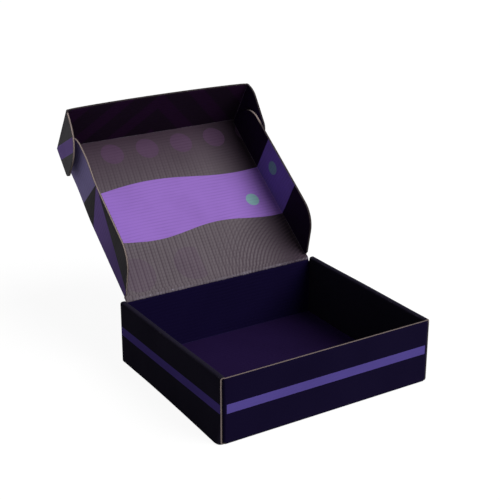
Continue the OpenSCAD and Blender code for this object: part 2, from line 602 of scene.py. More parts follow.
@dataclass(frozen=True)
class Inks:
    """The inks and papers of the box."""

    indigo: Ink = Ink(18, 11, 41)
    indigo_inside: Ink = Ink(21, 14, 49)
    indigo_floor: Ink = Ink(32, 19, 56)
    soot: Ink = Ink(37, 34, 47)
    black_inside: Ink = Ink(31, 18, 41)
    # the inside ink made darker for the right wall's inside: painted shade
    indigo_inside_painted_shade: Ink = Ink(7, 4, 40)
    plum: Ink = Ink(36, 24, 39)
    plum_bar: Ink = Ink(45, 23, 50)
    taupe: Ink = Ink(108, 99, 105)
    taupe_far: Ink = Ink(71, 57, 69)
    taupe_line: Ink = Ink(72, 60, 70)
    # painted shadow of the right dust flap on the lid's inside
    taupe_flap_shadow: Ink = Ink(54, 43, 54)
    taupe_disc: Ink = Ink(92, 66, 96)
    violet: Ink = Ink(154, 114, 201)
    # the lid's violet made darker for the side flaps: painted shade
    violet_painted_shade: Ink = Ink(127, 103, 189)
    mint: Ink = Ink(134, 182, 178)
    stripe: Ink = Ink(96, 82, 163)
    # the stripe ink made darker for the side walls: painted shade
    stripe_painted_shade: Ink = Ink(90, 73, 156)
    charcoal: Ink = Ink(68, 65, 70)
    graphite: Ink = Ink(92, 89, 94)
    lavender: Ink = Ink(178, 164, 228)
    purple: Ink = Ink(152, 122, 206)
    # darker purple near the hinge: painted shade
    purple_painted_shade: Ink = Ink(118, 94, 162)
    kraft: Ink = Ink(164, 148, 142)
    # darker kraft: fibre flecks, and painted shade in the flutes' hollows
    kraft_fibre_and_hollow_shade: Ink = Ink(128, 114, 110)
    crushed: Ink = Ink(24, 20, 28)
    scuff: Ink = Ink(142, 134, 148)


@dataclass(frozen=True)
class Signal:
    """A socket's value on its way through a node tree; arithmetic on it places Math nodes."""

    desk: "Desk"
    socket: Socket

    def __add__(self, other: "Value") -> "Signal":
        """The sum of both."""
        return self.desk.math("ADD", self, other)

    def __sub__(self, other: "Value") -> "Signal":
        """What is left when the other is taken away."""
        return self.desk.math("SUBTRACT", self, other)

    def __rsub__(self, other: float) -> "Signal":
        """What is left of a number when this is taken away."""
        return self.desk.math("SUBTRACT", other, self)

    def __mul__(self, other: "Value") -> "Signal":
        """The product of both."""
        return self.desk.math("MULTIPLY", self, other)

    def __truediv__(self, other: "Value") -> "Signal":
        """The quotient of both."""
        return self.desk.math("DIVIDE", self, other)

    def __abs__(self) -> "Signal":
        """The value without its sign."""
        return self.desk.math("ABSOLUTE", self)


Value = float | Signal
Source = Signal | Socket
Colour = Sequence[float] | Socket


class Desk:
    """Places and links nodes in one node tree."""

    def __init__(self, tree: NodeTree) -> None:
        """Takes the tree that the nodes go into."""
        self.tree = tree

    def node(self, kind: str, **settings: object) -> bpy.types.Node:
        """A new node of a kind, with its settings applied.

        Args:
            kind: Blender's name of the kind.
            settings: values of the node's own properties.

        Returns:
            The node.
        """
        node = self.tree.nodes.new(kind)
        for name, value in settings.items():
            setattr(node, name, value)
        return node

    def feed(self, socket: Socket, value: Value | Colour) -> None:
        """Links a socket to where a value comes from, or sets its value.

        Args:
            socket: the socket to feed.
            value: a signal, a socket, a number or a colour.
        """
        source = value.socket if isinstance(value, Signal) else value
        if isinstance(source, bpy.types.NodeSocket):
            self.tree.links.new(source, socket)
        else:
            socket.default_value = source

    def math(self, operation: str, first: Value | Socket, second: Value | Socket = 0.0) -> Signal:
        """The result of a Math node.

        Args:
            operation: Blender's name of the operation.
            first: the first operand.
            second: the second operand, where there is one.

        Returns:
            The result.
        """
        node = self.node("ShaderNodeMath", operation=operation)
        self.feed(node.inputs[0], first)
        self.feed(node.inputs[1], second)
        return Signal(self, node.outputs[0])

    def length(self, first: Signal, second: Signal) -> Signal:
        """The length of a flat vector, from its two parts."""
        return self.math("SQRT", first * first + second * second)

    def split(self, vector: Source) -> list[Signal]:
        """A vector's X, Y and Z.

        Args:
            vector: the vector.

        Returns:
            The three parts.
        """
        node = self.node("ShaderNodeSeparateXYZ")
        self.feed(node.inputs[0], vector)
        return [Signal(self, part) for part in node.outputs]

    def step(self, value: Value, low: float, high: float) -> Signal:
        """A smooth rise from 0 at low to 1 at high.

        Args:
            value: the value that is graded.
            low: where the rise starts.
            high: where it ends.

        Returns:
            The height of the rise.
        """
        node = self.node("ShaderNodeMapRange", interpolation_type="SMOOTHSTEP")
        self.feed(node.inputs["Value"], value)
        node.inputs["From Min"].default_value = low
        node.inputs["From Max"].default_value = high
        return Signal(self, node.outputs["Result"])

    def between(self, value: Value, low: float, high: float, soft: float) -> Signal:
        """A mask that is 1 between two values, with soft ends."""
        rise = self.step(value, low - soft, low + soft)
        return rise * (1.0 - self.step(value, high - soft, high + soft))

    def mix(self, factor: Value, first: Colour, second: Colour) -> Socket:
        """A colour that goes from the first to the second by factor.

        Args:
            factor: share of the second colour, from 0 to 1.
            first: the colour at 0.
            second: the colour at 1.

        Returns:
            The mixed colour.
        """
        node = self.node("ShaderNodeMix", data_type="RGBA", clamp_factor=True)
        self.feed(node.inputs["Factor"], factor)
        self.feed(node.inputs[6], first)
        self.feed(node.inputs[7], second)
        return node.outputs[2]

    def noise(self, vector: Source, scale: float, detail: float = 2.0, rough: float = 0.5) -> Signal:
        """The value of a noise texture.

        Args:
            vector: the place.
            scale: how many waves go into a metre.
            detail: how many finer layers are added.
            rough: weight of the finer layers.

        Returns:
            The value, which is about 0.5 on average.
        """
        node = self.node("ShaderNodeTexNoise", noise_dimensions="3D")
        self.feed(node.inputs["Vector"], vector)
        node.inputs["Scale"].default_value = scale
        node.inputs["Detail"].default_value = detail
        node.inputs["Roughness"].default_value = rough
        return Signal(self, node.outputs["Fac"])

    def group(self, tree: NodeTree, **values: Value | Socket) -> dict[str, Signal]:
        """The outputs by name of a node group placed in the tree, with its inputs fed by name.

        Args:
            tree: the group.
            values: what feeds each input.

        Returns:
            The outputs.
        """
        node = self.node("ShaderNodeGroup")
        node.node_tree = tree
        for name, value in values.items():
            self.feed(node.inputs[name], value)
        return {output.name: Signal(self, output) for output in node.outputs}


Signals = dict[str, Signal]


def new_group(name: str, inputs: dict[str, float | None],
              build: Callable[[Desk, Signals], Signals]) -> NodeTree:
    """Makes a shader node group.

    Args:
        name: name of the group.
        inputs: the inputs' names, each with its default value, or None for a vector.
        build: places the nodes between the inputs, which it is given, and the outputs, which it returns.

    Returns:
        The group.
    """
    tree = bpy.data.node_groups.new(name, "ShaderNodeTree")
    for label, default in inputs.items():
        kind = "NodeSocketVector" if default is None else "NodeSocketFloat"
        socket = tree.interface.new_socket(name=label, in_out="INPUT", socket_type=kind)
        if default is not None:
            socket.default_value = default
    desk = Desk(tree)
    entry = desk.node("NodeGroupInput")
    results = build(desk, {label: Signal(desk, entry.outputs[label]) for label in inputs})
    for label in results:
        tree.interface.new_socket(name=label, in_out="OUTPUT", socket_type="NodeSocketFloat")
    leave = desk.node("NodeGroupOutput")
    for label, value in results.items():
        desk.feed(leave.inputs[label], value)
    return tree


class Effects:
    """Node groups for the effects that several materials share, each built once."""

    def __init__(self, board: Board) -> None:
        """Builds the groups for a board."""
        pitch = board.flute_pitch * MM
        bar = {"Sheet": None, "Lean": 0.5, "Pitch": 0.06, "Share": 0.4, "Shift": 0.0, "Soft": 0.004}
        self.thickness = board.thickness * MM
        self.washboard = new_group("washboard", {"Sheet": None, "Pitch": pitch}, self._washboard)
        self.grain = new_group("paper_grain", {"Sheet": None}, self._grain)
        self.scuffs = new_group("scuffs", {"Sheet": None, "Wear": 0.0, "Amount": 0.5}, self._scuffs)
        self.bars = new_group("diagonal_bars", bar, self._bars)
        self.band = new_group("wavy_band", {"Sheet": None, "Low": 0.053, "High": 0.108}, self._band)
        self.flute_ends = new_group("flute_ends", {"Sheet": None, "Pitch": pitch}, self._flute_ends)

    @staticmethod
    def _washboard(desk: Desk, given: Signals) -> Signals:
        """Low ribs where the liner sinks between the flutes: a cosine across the flutes, unevenly deep.

        Args:
            desk: places the group's nodes.
            given: the group's inputs by name.

        Returns:
            The height of the ribs, and a mask of the furrows.
        """
        _, across, _ = desk.split(given["Sheet"])
        drift = desk.noise(given["Sheet"], 24.0, detail=1.0) * 0.9
        wave = desk.math("COSINE", (across / given["Pitch"] + drift) * math.tau)
        deep = desk.step(desk.noise(given["Sheet"], 38.0), 0.3, 0.75) * 0.6 + 0.4
        return {"Height": wave * deep, "Furrow": desk.step(wave * -1.0, 0.1, 1.0) * deep}

    @staticmethod
    def _grain(desk: Desk, given: Signals) -> Signals:
        """Paper fibre, fine and coarse, and broad clouds in the varnish, each about 0 to 1.

        Args:
            desk: places the group's nodes.
            given: the group's inputs by name.

        Returns:
            The fibre and the clouds.
        """
        stretch = desk.node("ShaderNodeMapping")
        desk.feed(stretch.inputs["Vector"], given["Sheet"])
        stretch.inputs["Scale"].default_value = (1.0, 2.6, 1.0)
        fine = desk.noise(stretch.outputs[0], 1500.0, detail=3.0, rough=0.6)
        coarse = desk.noise(stretch.outputs[0], 420.0)
        cloud = desk.noise(given["Sheet"], 22.0, detail=3.0, rough=0.55)
        return {"Fibre": fine * 0.6 + coarse * 0.4, "Cloud": cloud}

    @staticmethod
    def _scuffs(desk: Desk, given: Signals) -> Signals:
        """Where the ink has cracked and rubbed off: the wear attribute broken up by ragged noise.

        Args:
            desk: places the group's nodes.
            given: the group's inputs by name.

        Returns:
            The mask of the bare paper.
        """
        ragged = desk.noise(given["Sheet"], 700.0, detail=4.0, rough=0.7)
        patchy = desk.noise(given["Sheet"], 60.0)
        reach = given["Wear"] * given["Amount"]
        return {"Mask": desk.step(ragged * 0.65 + patchy * 0.35 + reach - 0.86, 0.0, 0.26)}

    @staticmethod
    def _bars(desk: Desk, given: Signals) -> Signals:
        """Diagonal bars: 1 where the distance along a slanted direction falls into the bar's share.

        Args:
            desk: places the group's nodes.
            given: the group's inputs by name.

        Returns:
            The mask of the bars.
        """
        x, s, _ = desk.split(given["Sheet"])
        along = s + abs(x) * given["Lean"] + given["Shift"]
        from_middle = abs(desk.math("FRACT", along / given["Pitch"]) - 0.5)
        return {"Mask": desk.step((given["Share"] * 0.5 - from_middle) / given["Soft"], -0.5, 0.5)}

    @staticmethod
    def _band(desk: Desk, given: Signals) -> Signals:
        """A band across the lid with two smooth wavy edges, each a sine of the place along the hinge.

        Args:
            desk: places the group's nodes.
            given: the group's inputs by name.

        Returns:
            The mask of the band.
        """
        x, s, _ = desk.split(given["Sheet"])
        over = s - (given["Low"] + desk.math("SINE", x * 52.0 + 0.4) * 0.0032)
        under = given["High"] + desk.math("SINE", x * 34.0 + 2.4) * 0.0042 - s
        return {"Mask": desk.step(desk.math("MINIMUM", over, under), -0.0002, 0.0002)}

    def _flute_ends(self, desk: Desk, given: Signals) -> Signals:
        """The cut edge: two liners, a wave of medium between them, and rims that the cut pressed over.

        Args:
            desk: places the group's nodes.
            given: the group's inputs by name.

        Returns:
            The mask of the paper, its height, and the mask of the rims.
        """
        t = self.thickness
        depth, across, _ = desk.split(given["Sheet"])
        wave = desk.math("SINE", across / given["Pitch"] * math.tau) * (0.36 * t)
        medium = 1.0 - desk.step(abs(depth - 0.5 * t - wave), 0.12 * t, 0.2 * t)
        off_middle = abs(depth - 0.5 * t)
        paper = desk.math("MAXIMUM", medium, desk.step(off_middle, 0.32 * t, 0.38 * t))
        fibre = desk.noise(given["Sheet"], 1400.0)
        ragged = desk.noise(given["Sheet"], 260.0) * (0.12 * t)
        rim = desk.step(off_middle + ragged, 0.32 * t, 0.4 * t)
        return {"Paper": paper, "Height": paper + fibre * 0.4, "Rim": rim}


class Finish:
    """Base of the box's materials: reads the sheet's place and wires the shader."""

    def __init__(self, name: str, effects: Effects) -> None:
        """Starts an empty material with its shader.

        Args:
            name: name of the material.
            effects: the shared node groups.
        """
        self.effects = effects
        self.material = bpy.data.materials.new(name)
        self.material.use_nodes = True
        self.material.node_tree.nodes.clear()
        self.desk = Desk(self.material.node_tree)
        self.shader = self.desk.node("ShaderNodeBsdfPrincipled")
        leave = self.desk.node("ShaderNodeOutputMaterial")
        self.desk.feed(leave.inputs["Surface"], self.shader.outputs["BSDF"])
        self.sheet = self.desk.node("ShaderNodeUVMap", uv_map=SHEET_MAP).outputs["UV"]

    def wire(self, colour: Colour, roughness: Value, specular: float, normal: Socket) -> None:
        """Feeds the shader's inputs.

        Args:
            colour: the base colour.
            roughness: 0 for a mirror, 1 for a dull surface.
            specular: strength of the plain reflection.
            normal: the bumped normal.
        """
        self.desk.feed(self.shader.inputs["Base Color"], colour)
        self.desk.feed(self.shader.inputs["Roughness"], roughness)
        self.desk.feed(self.shader.inputs["Specular IOR Level"], specular)
        self.desk.feed(self.shader.inputs["Normal"], normal)

    def place(self) -> Socket:
        """The place in the box's frame, in metres."""
        return self.desk.node("ShaderNodeTexCoord").outputs["Object"]

    def distance(self, centre: Sequence[float]) -> Signal:
        """Distance in metres from a point of the box's frame that is given in millimetres.

        Args:
            centre: the point.

        Returns:
            The distance.
        """
        away = self.desk.node("ShaderNodeVectorMath", operation="DISTANCE")
        self.desk.feed(away.inputs[0], self.place())
        away.inputs[1].default_value = [c * MM for c in centre]
        return Signal(self.desk, away.outputs["Value"])

    def across(self) -> list[Signal]:
        """The place on the sheet, along and across the flutes."""
        return self.desk.split(self.sheet)[:2]

    def height(self) -> Signal:
        """Height above the box's base, in metres."""
        return self.desk.split(self.place())[2]

    def bump(self, height: Signal, depth: float, under: Socket | None = None) -> Socket:
        """A Bump node's normal, on top of another normal if there is one.

        Args:
            height: the relief, from about 0 to 1.
            depth: how deep the relief is, in metres.
            under: the other normal.

        Returns:
            The normal.
        """
        node = self.desk.node("ShaderNodeBump")
        node.inputs["Strength"].default_value = 1.0
        node.inputs["Distance"].default_value = depth
        self.desk.feed(node.inputs["Height"], height)
        if under is not None:
            self.desk.feed(node.inputs["Normal"], under)
        return node.outputs["Normal"]


class RawEdge(Finish):
    """The board's cut edge: brown paper with the flutes' wave and painted shade in their hollows, inked
    over where the cut has crushed it.
    """

    def __init__(self, name: str, effects: Effects, inks: Inks, crushed: float = 0.0,
                 bare_at: Sequence[float] | None = None, bare_reach: float = 1.0, rim: float = 0.8) -> None:
        """Builds the material.

        Args:
            name: name of the material.
            effects: the shared node groups.
            inks: the box's inks.
            crushed: share of the paper that the printed liner covers.
            bare_at: a point round which the paper shows all the same.
            bare_reach: how far from that point it shows.
            rim: how strongly the printed liners' rims cover the paper.
        """
        super().__init__(name, effects)
        desk = self.desk
        ends = desk.group(effects.flute_ends, Sheet=self.sheet)
        grain = desk.group(effects.grain, Sheet=self.sheet)
        # painted shade: the hollows between the flutes take the darker kraft
        paper = desk.mix(ends["Paper"], inks.kraft_fibre_and_hollow_shade.linear, inks.kraft.linear)
        colour = desk.mix(desk.step(grain["Fibre"], 0.3, 0.8) * 0.35, paper, inks.kraft_fibre_and_hollow_shade.linear)
        cover: Value = crushed
        if bare_at is not None:
            cover = desk.step(self.distance(bare_at), bare_reach * 0.6 * MM, bare_reach * MM) * crushed
        colour = desk.mix(desk.math("MAXIMUM", ends["Rim"] * rim, cover), colour, inks.crushed.linear)
        self.wire(colour, roughness=0.9, specular=0.1, normal=self.bump(ends["Height"], 0.03 * MM))


@dataclass(frozen=True)
class PrintLook:
    """How a printed liner takes the light, with its bare nicks as (X, Y, Z, radius); depths are in mm."""

    rib_depth: float = 0.03
    # share of painted shade in the flutes' furrows
    furrow_shade: float = 0.14
    roughness: float = 0.6
    specular: float = 0.025
    wear: float = 0.5
    fibre_depth: float = 0.01
    # share of painted shade along the worn folds
    crease_painted_shade: float = 0.0
    nicks: tuple[tuple[float, float, float, float], ...] = ()


class PrintedLiner(Finish):
    """A printed liner: a design over the sheet, with ribs, fibre, varnish clouds, scuffed folds, and
    painted shade in the furrows and creases.
    """

    def __init__(self, name: str, effects: Effects, inks: Inks, design: Callable[["PrintedLiner"], Colour],
                 look: PrintLook) -> None:
        """Builds the material.

        Args:
            name: name of the material.
            effects: the shared node groups.
            inks: the box's inks.
            design: gives the printed colour for this liner.
            look: how the liner takes the light.
        """
        super().__init__(name, effects)
        desk = self.desk
        ribs = desk.group(effects.washboard, Sheet=self.sheet)
        grain = desk.group(effects.grain, Sheet=self.sheet)
        attribute = desk.node("ShaderNodeAttribute", attribute_name=WEAR, attribute_type="GEOMETRY")
        worn = Signal(desk, attribute.outputs["Fac"])
        scuffs = desk.group(effects.scuffs, Sheet=self.sheet, Wear=worn, Amount=look.wear)["Mask"]
        # painted shade: darker in the flutes' furrows, and along the worn folds
        dark = desk.math("MAXIMUM", ribs["Furrow"] * look.furrow_shade, worn * look.crease_painted_shade)
        printed = desk.mix(dark, design(self), BLACK)
        printed = desk.mix(desk.step(grain["Cloud"], 0.35, 0.75) * 0.1, printed, BLACK)
        rubbed = scuffs * 0.75
        for *centre, radius in look.nicks:
            torn = self.distance(centre) + grain["Fibre"] * (0.4 * MM)
            nick = 1.0 - desk.step(torn, radius * 0.7 * MM, radius * 1.2 * MM)
            rubbed = desk.math("MAXIMUM", rubbed, nick)
        rough = grain["Cloud"] * 0.22 + (look.roughness - 0.11) + scuffs * 0.3
        ribbed = self.bump(ribs["Height"], look.rib_depth * MM)
        fibrous = self.bump(grain["Fibre"], look.fibre_depth * MM, ribbed)
        self.wire(desk.mix(rubbed, printed, inks.scuff.linear), rough, look.specular, fibrous)


@dataclass(frozen=True)
class Designs:
    """The printed designs, each a function that gives a liner's colour.

    Places and sizes are in millimetres on the unfolded sheet. A reach or a shade goes by a smooth step
    between two places. A row of discs has its pitch, its place and the discs' radius. A cover is the share
    that an ink takes of the colour.
    """

    inks: Inks
    stripe: tuple[float, float] = (26.3, 34.0)
    stripe_soft: float = 0.08
    pin_slant: float = -0.12
    pin_pitch: float = 3.15
    pin_reach: tuple[float, float] = (0.0, 75.0)
    pin_cover: float = 0.6
    arc_centre: tuple[float, float] = (105.0, -30.0)
    arc_pitch: float = 3.2
    arc_reach: tuple[float, float] = (70.0, 130.0)
    arc_cover: float = 0.8
    far_shade: tuple[float, float] = (80.0, 165.0)
    # reach across the lid and strength of the right dust flap's painted shadow
    flap_shadow_reach: tuple[float, float] = (35.0, 90.0)
    flap_shadow_cover: float = 0.97
    row_start: float = -100.0
    far_discs: Triple = (36.0, 147.0, 11.0)
    far_disc_cover: float = 0.6
    near_discs: Triple = (54.0, 20.0, 17.0)
    near_disc_end: float = -10.0
    near_disc_cover: float = 0.22
    mint_r: float = 6.5
    mint_cover: float = 0.9
    spot_soft: float = 0.2

    def plain(self, ink: Ink) -> Callable[[PrintedLiner], Colour]:
        """One flat ink."""
        return lambda liner: ink.linear

    def striped(self, ground: Ink, stripe: Ink, reach: float) -> Callable[[PrintedLiner], Colour]:
        """A stripe round the tray at one height, on the panels that lie within reach along the sheet.

        Args:
            ground: ink of the panels.
            stripe: ink of the stripe.
            reach: distance along the sheet from its middle line.

        Returns:
            The design.
        """
        def design(liner: PrintedLiner) -> Colour:
            """The ground with the stripe."""
            low, high = (height * MM for height in self.stripe)
            mask = liner.desk.between(liner.height(), low, high, self.stripe_soft * MM)
            near = liner.desk.math("LESS_THAN", abs(liner.across()[0]), reach * MM)
            return liner.desk.mix(mask * near, ground.linear, stripe.linear)
        return design

    def barred(self, ground: Ink,
               layers: Sequence[tuple[Ink, dict[str, float]]]) -> Callable[[PrintedLiner], Colour]:
        """Diagonal bars of several inks over a ground, the later ones on top.

        Args:
            ground: ink of the panel.
            layers: the ink of each layer, and what it sets on the group of bars.

        Returns:
            The design.
        """
        def design(liner: PrintedLiner) -> Colour:
            """The ground with its bars."""
            colour = ground.linear
            for ink, setting in layers:
                bars = liner.desk.group(liner.effects.bars, Sheet=liner.sheet, **setting)
                colour = liner.desk.mix(bars["Mask"], colour, ink.linear)
            return colour
        return design

    def lid_inside(self, liner: PrintedLiner) -> Colour:
        """Taupe with pinstripes, arcs and soft discs, a violet wavy band across it, and a painted shadow of
        the right dust flap.

        Args:
            liner: the liner that is printed.

        Returns:
            The colour.
        """
        desk, inks = liner.desk, self.inks
        x, s = liner.across()
        slanted = x + s * self.pin_slant
        fine = self._wave(desk, slanted, self.pin_pitch)
        broad = self._wave(desk, slanted, 2 * self.pin_pitch)
        pins = (desk.step(fine, 0.2, 0.9) + broad * 0.3) * (1.0 - self._ramp(desk, x, self.pin_reach))
        radius = self._away(desk, x, s, self.arc_centre)
        rings = desk.step(self._wave(desk, radius, self.arc_pitch), -0.2, 0.7)
        arcs = rings * (1.0 - self._ramp(desk, radius, self.arc_reach))
        near = self._discs(desk, x, s, self.near_discs)
        near = near * desk.math("LESS_THAN", x, self.near_disc_end * MM)
        colour = inks.taupe.linear
        for mask, ink in (
            (self._ramp(desk, s, self.far_shade), inks.taupe_far),
            # painted shadow of the right dust flap, darker towards the lid's right side
            (self._ramp(desk, x, self.flap_shadow_reach) * self.flap_shadow_cover, inks.taupe_flap_shadow),
            (pins * self.pin_cover, inks.taupe_line),
            (arcs * self.arc_cover, inks.taupe_line),
            (self._discs(desk, x, s, self.far_discs) * self.far_disc_cover, inks.taupe_disc),
            (near * self.near_disc_cover, inks.taupe_disc),
        ):
            colour = desk.mix(mask, colour, ink.linear)
        return self._banded(liner, colour, inks.violet, (68.0, 71.0))

    def side_flap_inside(self, liner: PrintedLiner) -> Colour:
        """Black, with the lid's band carried on over the fold in a darker copy of its ink, as painted
        shade.
        """
        return self._banded(liner, self.inks.black_inside.linear, self.inks.violet_painted_shade, (113.0, 88.0))

    def _banded(self, liner: PrintedLiner, ground: Colour, ink: Ink, dot: tuple[float, float]) -> Colour:
        """A ground with the violet band and one mint dot on it.

        Args:
            liner: the liner that is printed.
            ground: the colour under the band.
            ink: ink of the band.
            dot: the dot's place on the sheet.

        Returns:
            The colour.
        """
        desk = liner.desk
        band = desk.group(liner.effects.band, Sheet=liner.sheet)["Mask"]
        x, s = liner.across()
        spot = self._spot(desk, self._away(desk, x, s, dot), self.mint_r)
        return desk.mix(spot * self.mint_cover, desk.mix(band, ground, ink.linear), self.inks.mint.linear)

    def _discs(self, desk: Desk, x: Signal, s: Signal, row: Triple) -> Signal:
        """A row of discs along the hinge.

        Args:
            desk: places the nodes.
            x: place along the hinge.
            s: distance from it.
            row: the row's pitch, its place and the discs' radius.

        Returns:
            The mask of the discs.
        """
        pitch, place, radius = row
        cell = desk.math("FRACT", (x - self.row_start * MM) / (pitch * MM))
        away = desk.length((cell - 0.5) * (pitch * MM), s - place * MM)
        return self._spot(desk, away, radius)

    def _spot(self, desk: Desk, away: Signal, radius: float) -> Signal:
        """1 within a radius, by the distance from the spot's centre."""
        return 1.0 - desk.step(away, (radius - self.spot_soft) * MM, (radius + self.spot_soft) * MM)

    @staticmethod
    def _away(desk: Desk, x: Signal, s: Signal, centre: tuple[float, float]) -> Signal:
        """Distance in metres from a place on the sheet."""
        return desk.length(x - centre[0] * MM, s - centre[1] * MM)

    @staticmethod
    def _wave(desk: Desk, value: Signal, pitch: float) -> Signal:
        """A sine of a distance in metres, by its pitch."""
        return desk.math("SINE", value * (math.tau / (pitch * MM)))

    @staticmethod
    def _ramp(desk: Desk, value: Signal, reach: tuple[float, float]) -> Signal:
        """A smooth rise from 0 to 1 between two places."""
        return desk.step(value, reach[0] * MM, reach[1] * MM)


class Wardrobe:
    """All the materials of the box, made once."""

    def __init__(self, board: Board, inks: Inks, seats: Seats) -> None:
        """Makes the materials.

        Args:
            board: the board, for the flutes' pitch and the thickness.
            inks: the inks.
            seats: where the panels sit.
        """
        effects = Effects(board)
        designs = Designs(inks)
        dull = PrintLook()
        smooth = PrintLook(rib_depth=0.01, furrow_shade=0.03, wear=0.34)
        matt = PrintLook(rib_depth=0.01, furrow_shade=0.03, wear=0.34, specular=0.006, roughness=0.8)
        # the hinge is scuffed and nicked, and its crease is darkened as painted shade
        worn = PrintLook(wear=0.46, crease_painted_shade=0.06, nicks=(
            (-71.0, 82.6, 56.0, 1.0), (-63.0, 82.7, 56.4, 0.8),
            (-49.0, 82.6, 56.1, 1.1), (-41.0, 82.7, 56.4, 0.8)))
        nicked = PrintLook(nicks=((-95.2, 52.3, 56.4, 1.0), (-94.4, -52.7, 56.2, 0.8)))
        dented = PrintLook(nicks=((94.0, 44.4, 2.2, 0.7), (94.0, 17.3, 2.2, 0.5)))
        hook = seats.on_lid(np.array([91.0, 145.0, 34.0]))
        corner = (99.0, -82.0, 56.4)

        def edge(name: str, **settings: float | Sequence[float]) -> Material:
            """A cut edge's material."""
            return RawEdge(name, effects, inks, **settings).material

        def liner(name: str, design: Callable[[PrintedLiner], Colour],
                  look: PrintLook = dull) -> Material:
            """A printed liner's material."""
            return PrintedLiner(name, effects, inks, design, look).material

        self.raw_edge = edge("raw_edge")
        self.crushed_edge = edge("crushed_edge", crushed=0.9)
        self.hook_edge = edge("hook_edge", crushed=0.85, bare_at=hook, bare_reach=19.0, rim=0.2)
        self.right_wall_edge = edge("right_wall_edge", crushed=0.85, bare_at=corner, bare_reach=4.0)
        self.tray_inside = liner("tray_inside_print", designs.plain(inks.indigo_inside))
        self.left_wall_inside = liner("left_wall_inside_print", designs.plain(inks.indigo_inside), nicked)
        # the right wall's inside is a darker copy of the tray's inside: painted shade
        self.right_wall_inside = liner("right_wall_inside_print_and_shade", designs.plain(inks.indigo_inside_painted_shade), dented)
        self.tray_floor = liner("tray_floor_print", designs.plain(inks.indigo_floor))
        self.tray_front = liner("tray_front_print", designs.striped(inks.indigo, inks.stripe, 95.4), smooth)
        # the side walls' stripe is a darker copy of the front's stripe ink: painted shade
        self.tray_side = liner("tray_side_print_and_shade", designs.striped(inks.soot, inks.stripe_painted_shade, 152.0), matt)
        self.base = liner("tray_base_print", designs.plain(inks.indigo))
        self.lid_inside = liner("lid_inside_print_and_shadow", designs.lid_inside)
        self.hinge_inside = liner("hinge_print_and_shade", designs.lid_inside, worn)
        self.side_flap_inside = liner("side_flap_inside_print_and_shade", designs.side_flap_inside)
        self.front_flap_inside = liner("front_flap_inside_print", designs.barred(
            inks.plum, [(inks.plum_bar, dict(Lean=1.1, Pitch=0.046, Share=0.42, Soft=0.08))]))
        self.ear_inside = liner("ear_inside_print", designs.plain(inks.black_inside))
        self.lid_outside = liner("lid_outside_print_and_shade", designs.barred(inks.charcoal, [
            (inks.purple, dict(Lean=-0.46, Pitch=0.2, Share=0.4, Shift=0.1074)),
            # painted shade: a soft darker purple band, strongest at the hinge line
            (inks.purple_painted_shade, dict(Lean=0.0, Pitch=1.0, Share=0.11, Shift=0.5, Soft=0.05)),
            (inks.charcoal, dict(Lean=-2.7, Pitch=0.72, Share=0.15, Shift=0.678, Soft=0.001)),
            (inks.lavender, dict(Lean=0.19, Pitch=0.24, Share=0.28, Shift=-0.032, Soft=0.002)),
        ]))
        self.ear_outside = liner("ear_outside_print", designs.barred(
            inks.graphite, [(inks.purple, dict(Lean=-1.5, Pitch=0.09, Share=0.267, Shift=0.0321))]))


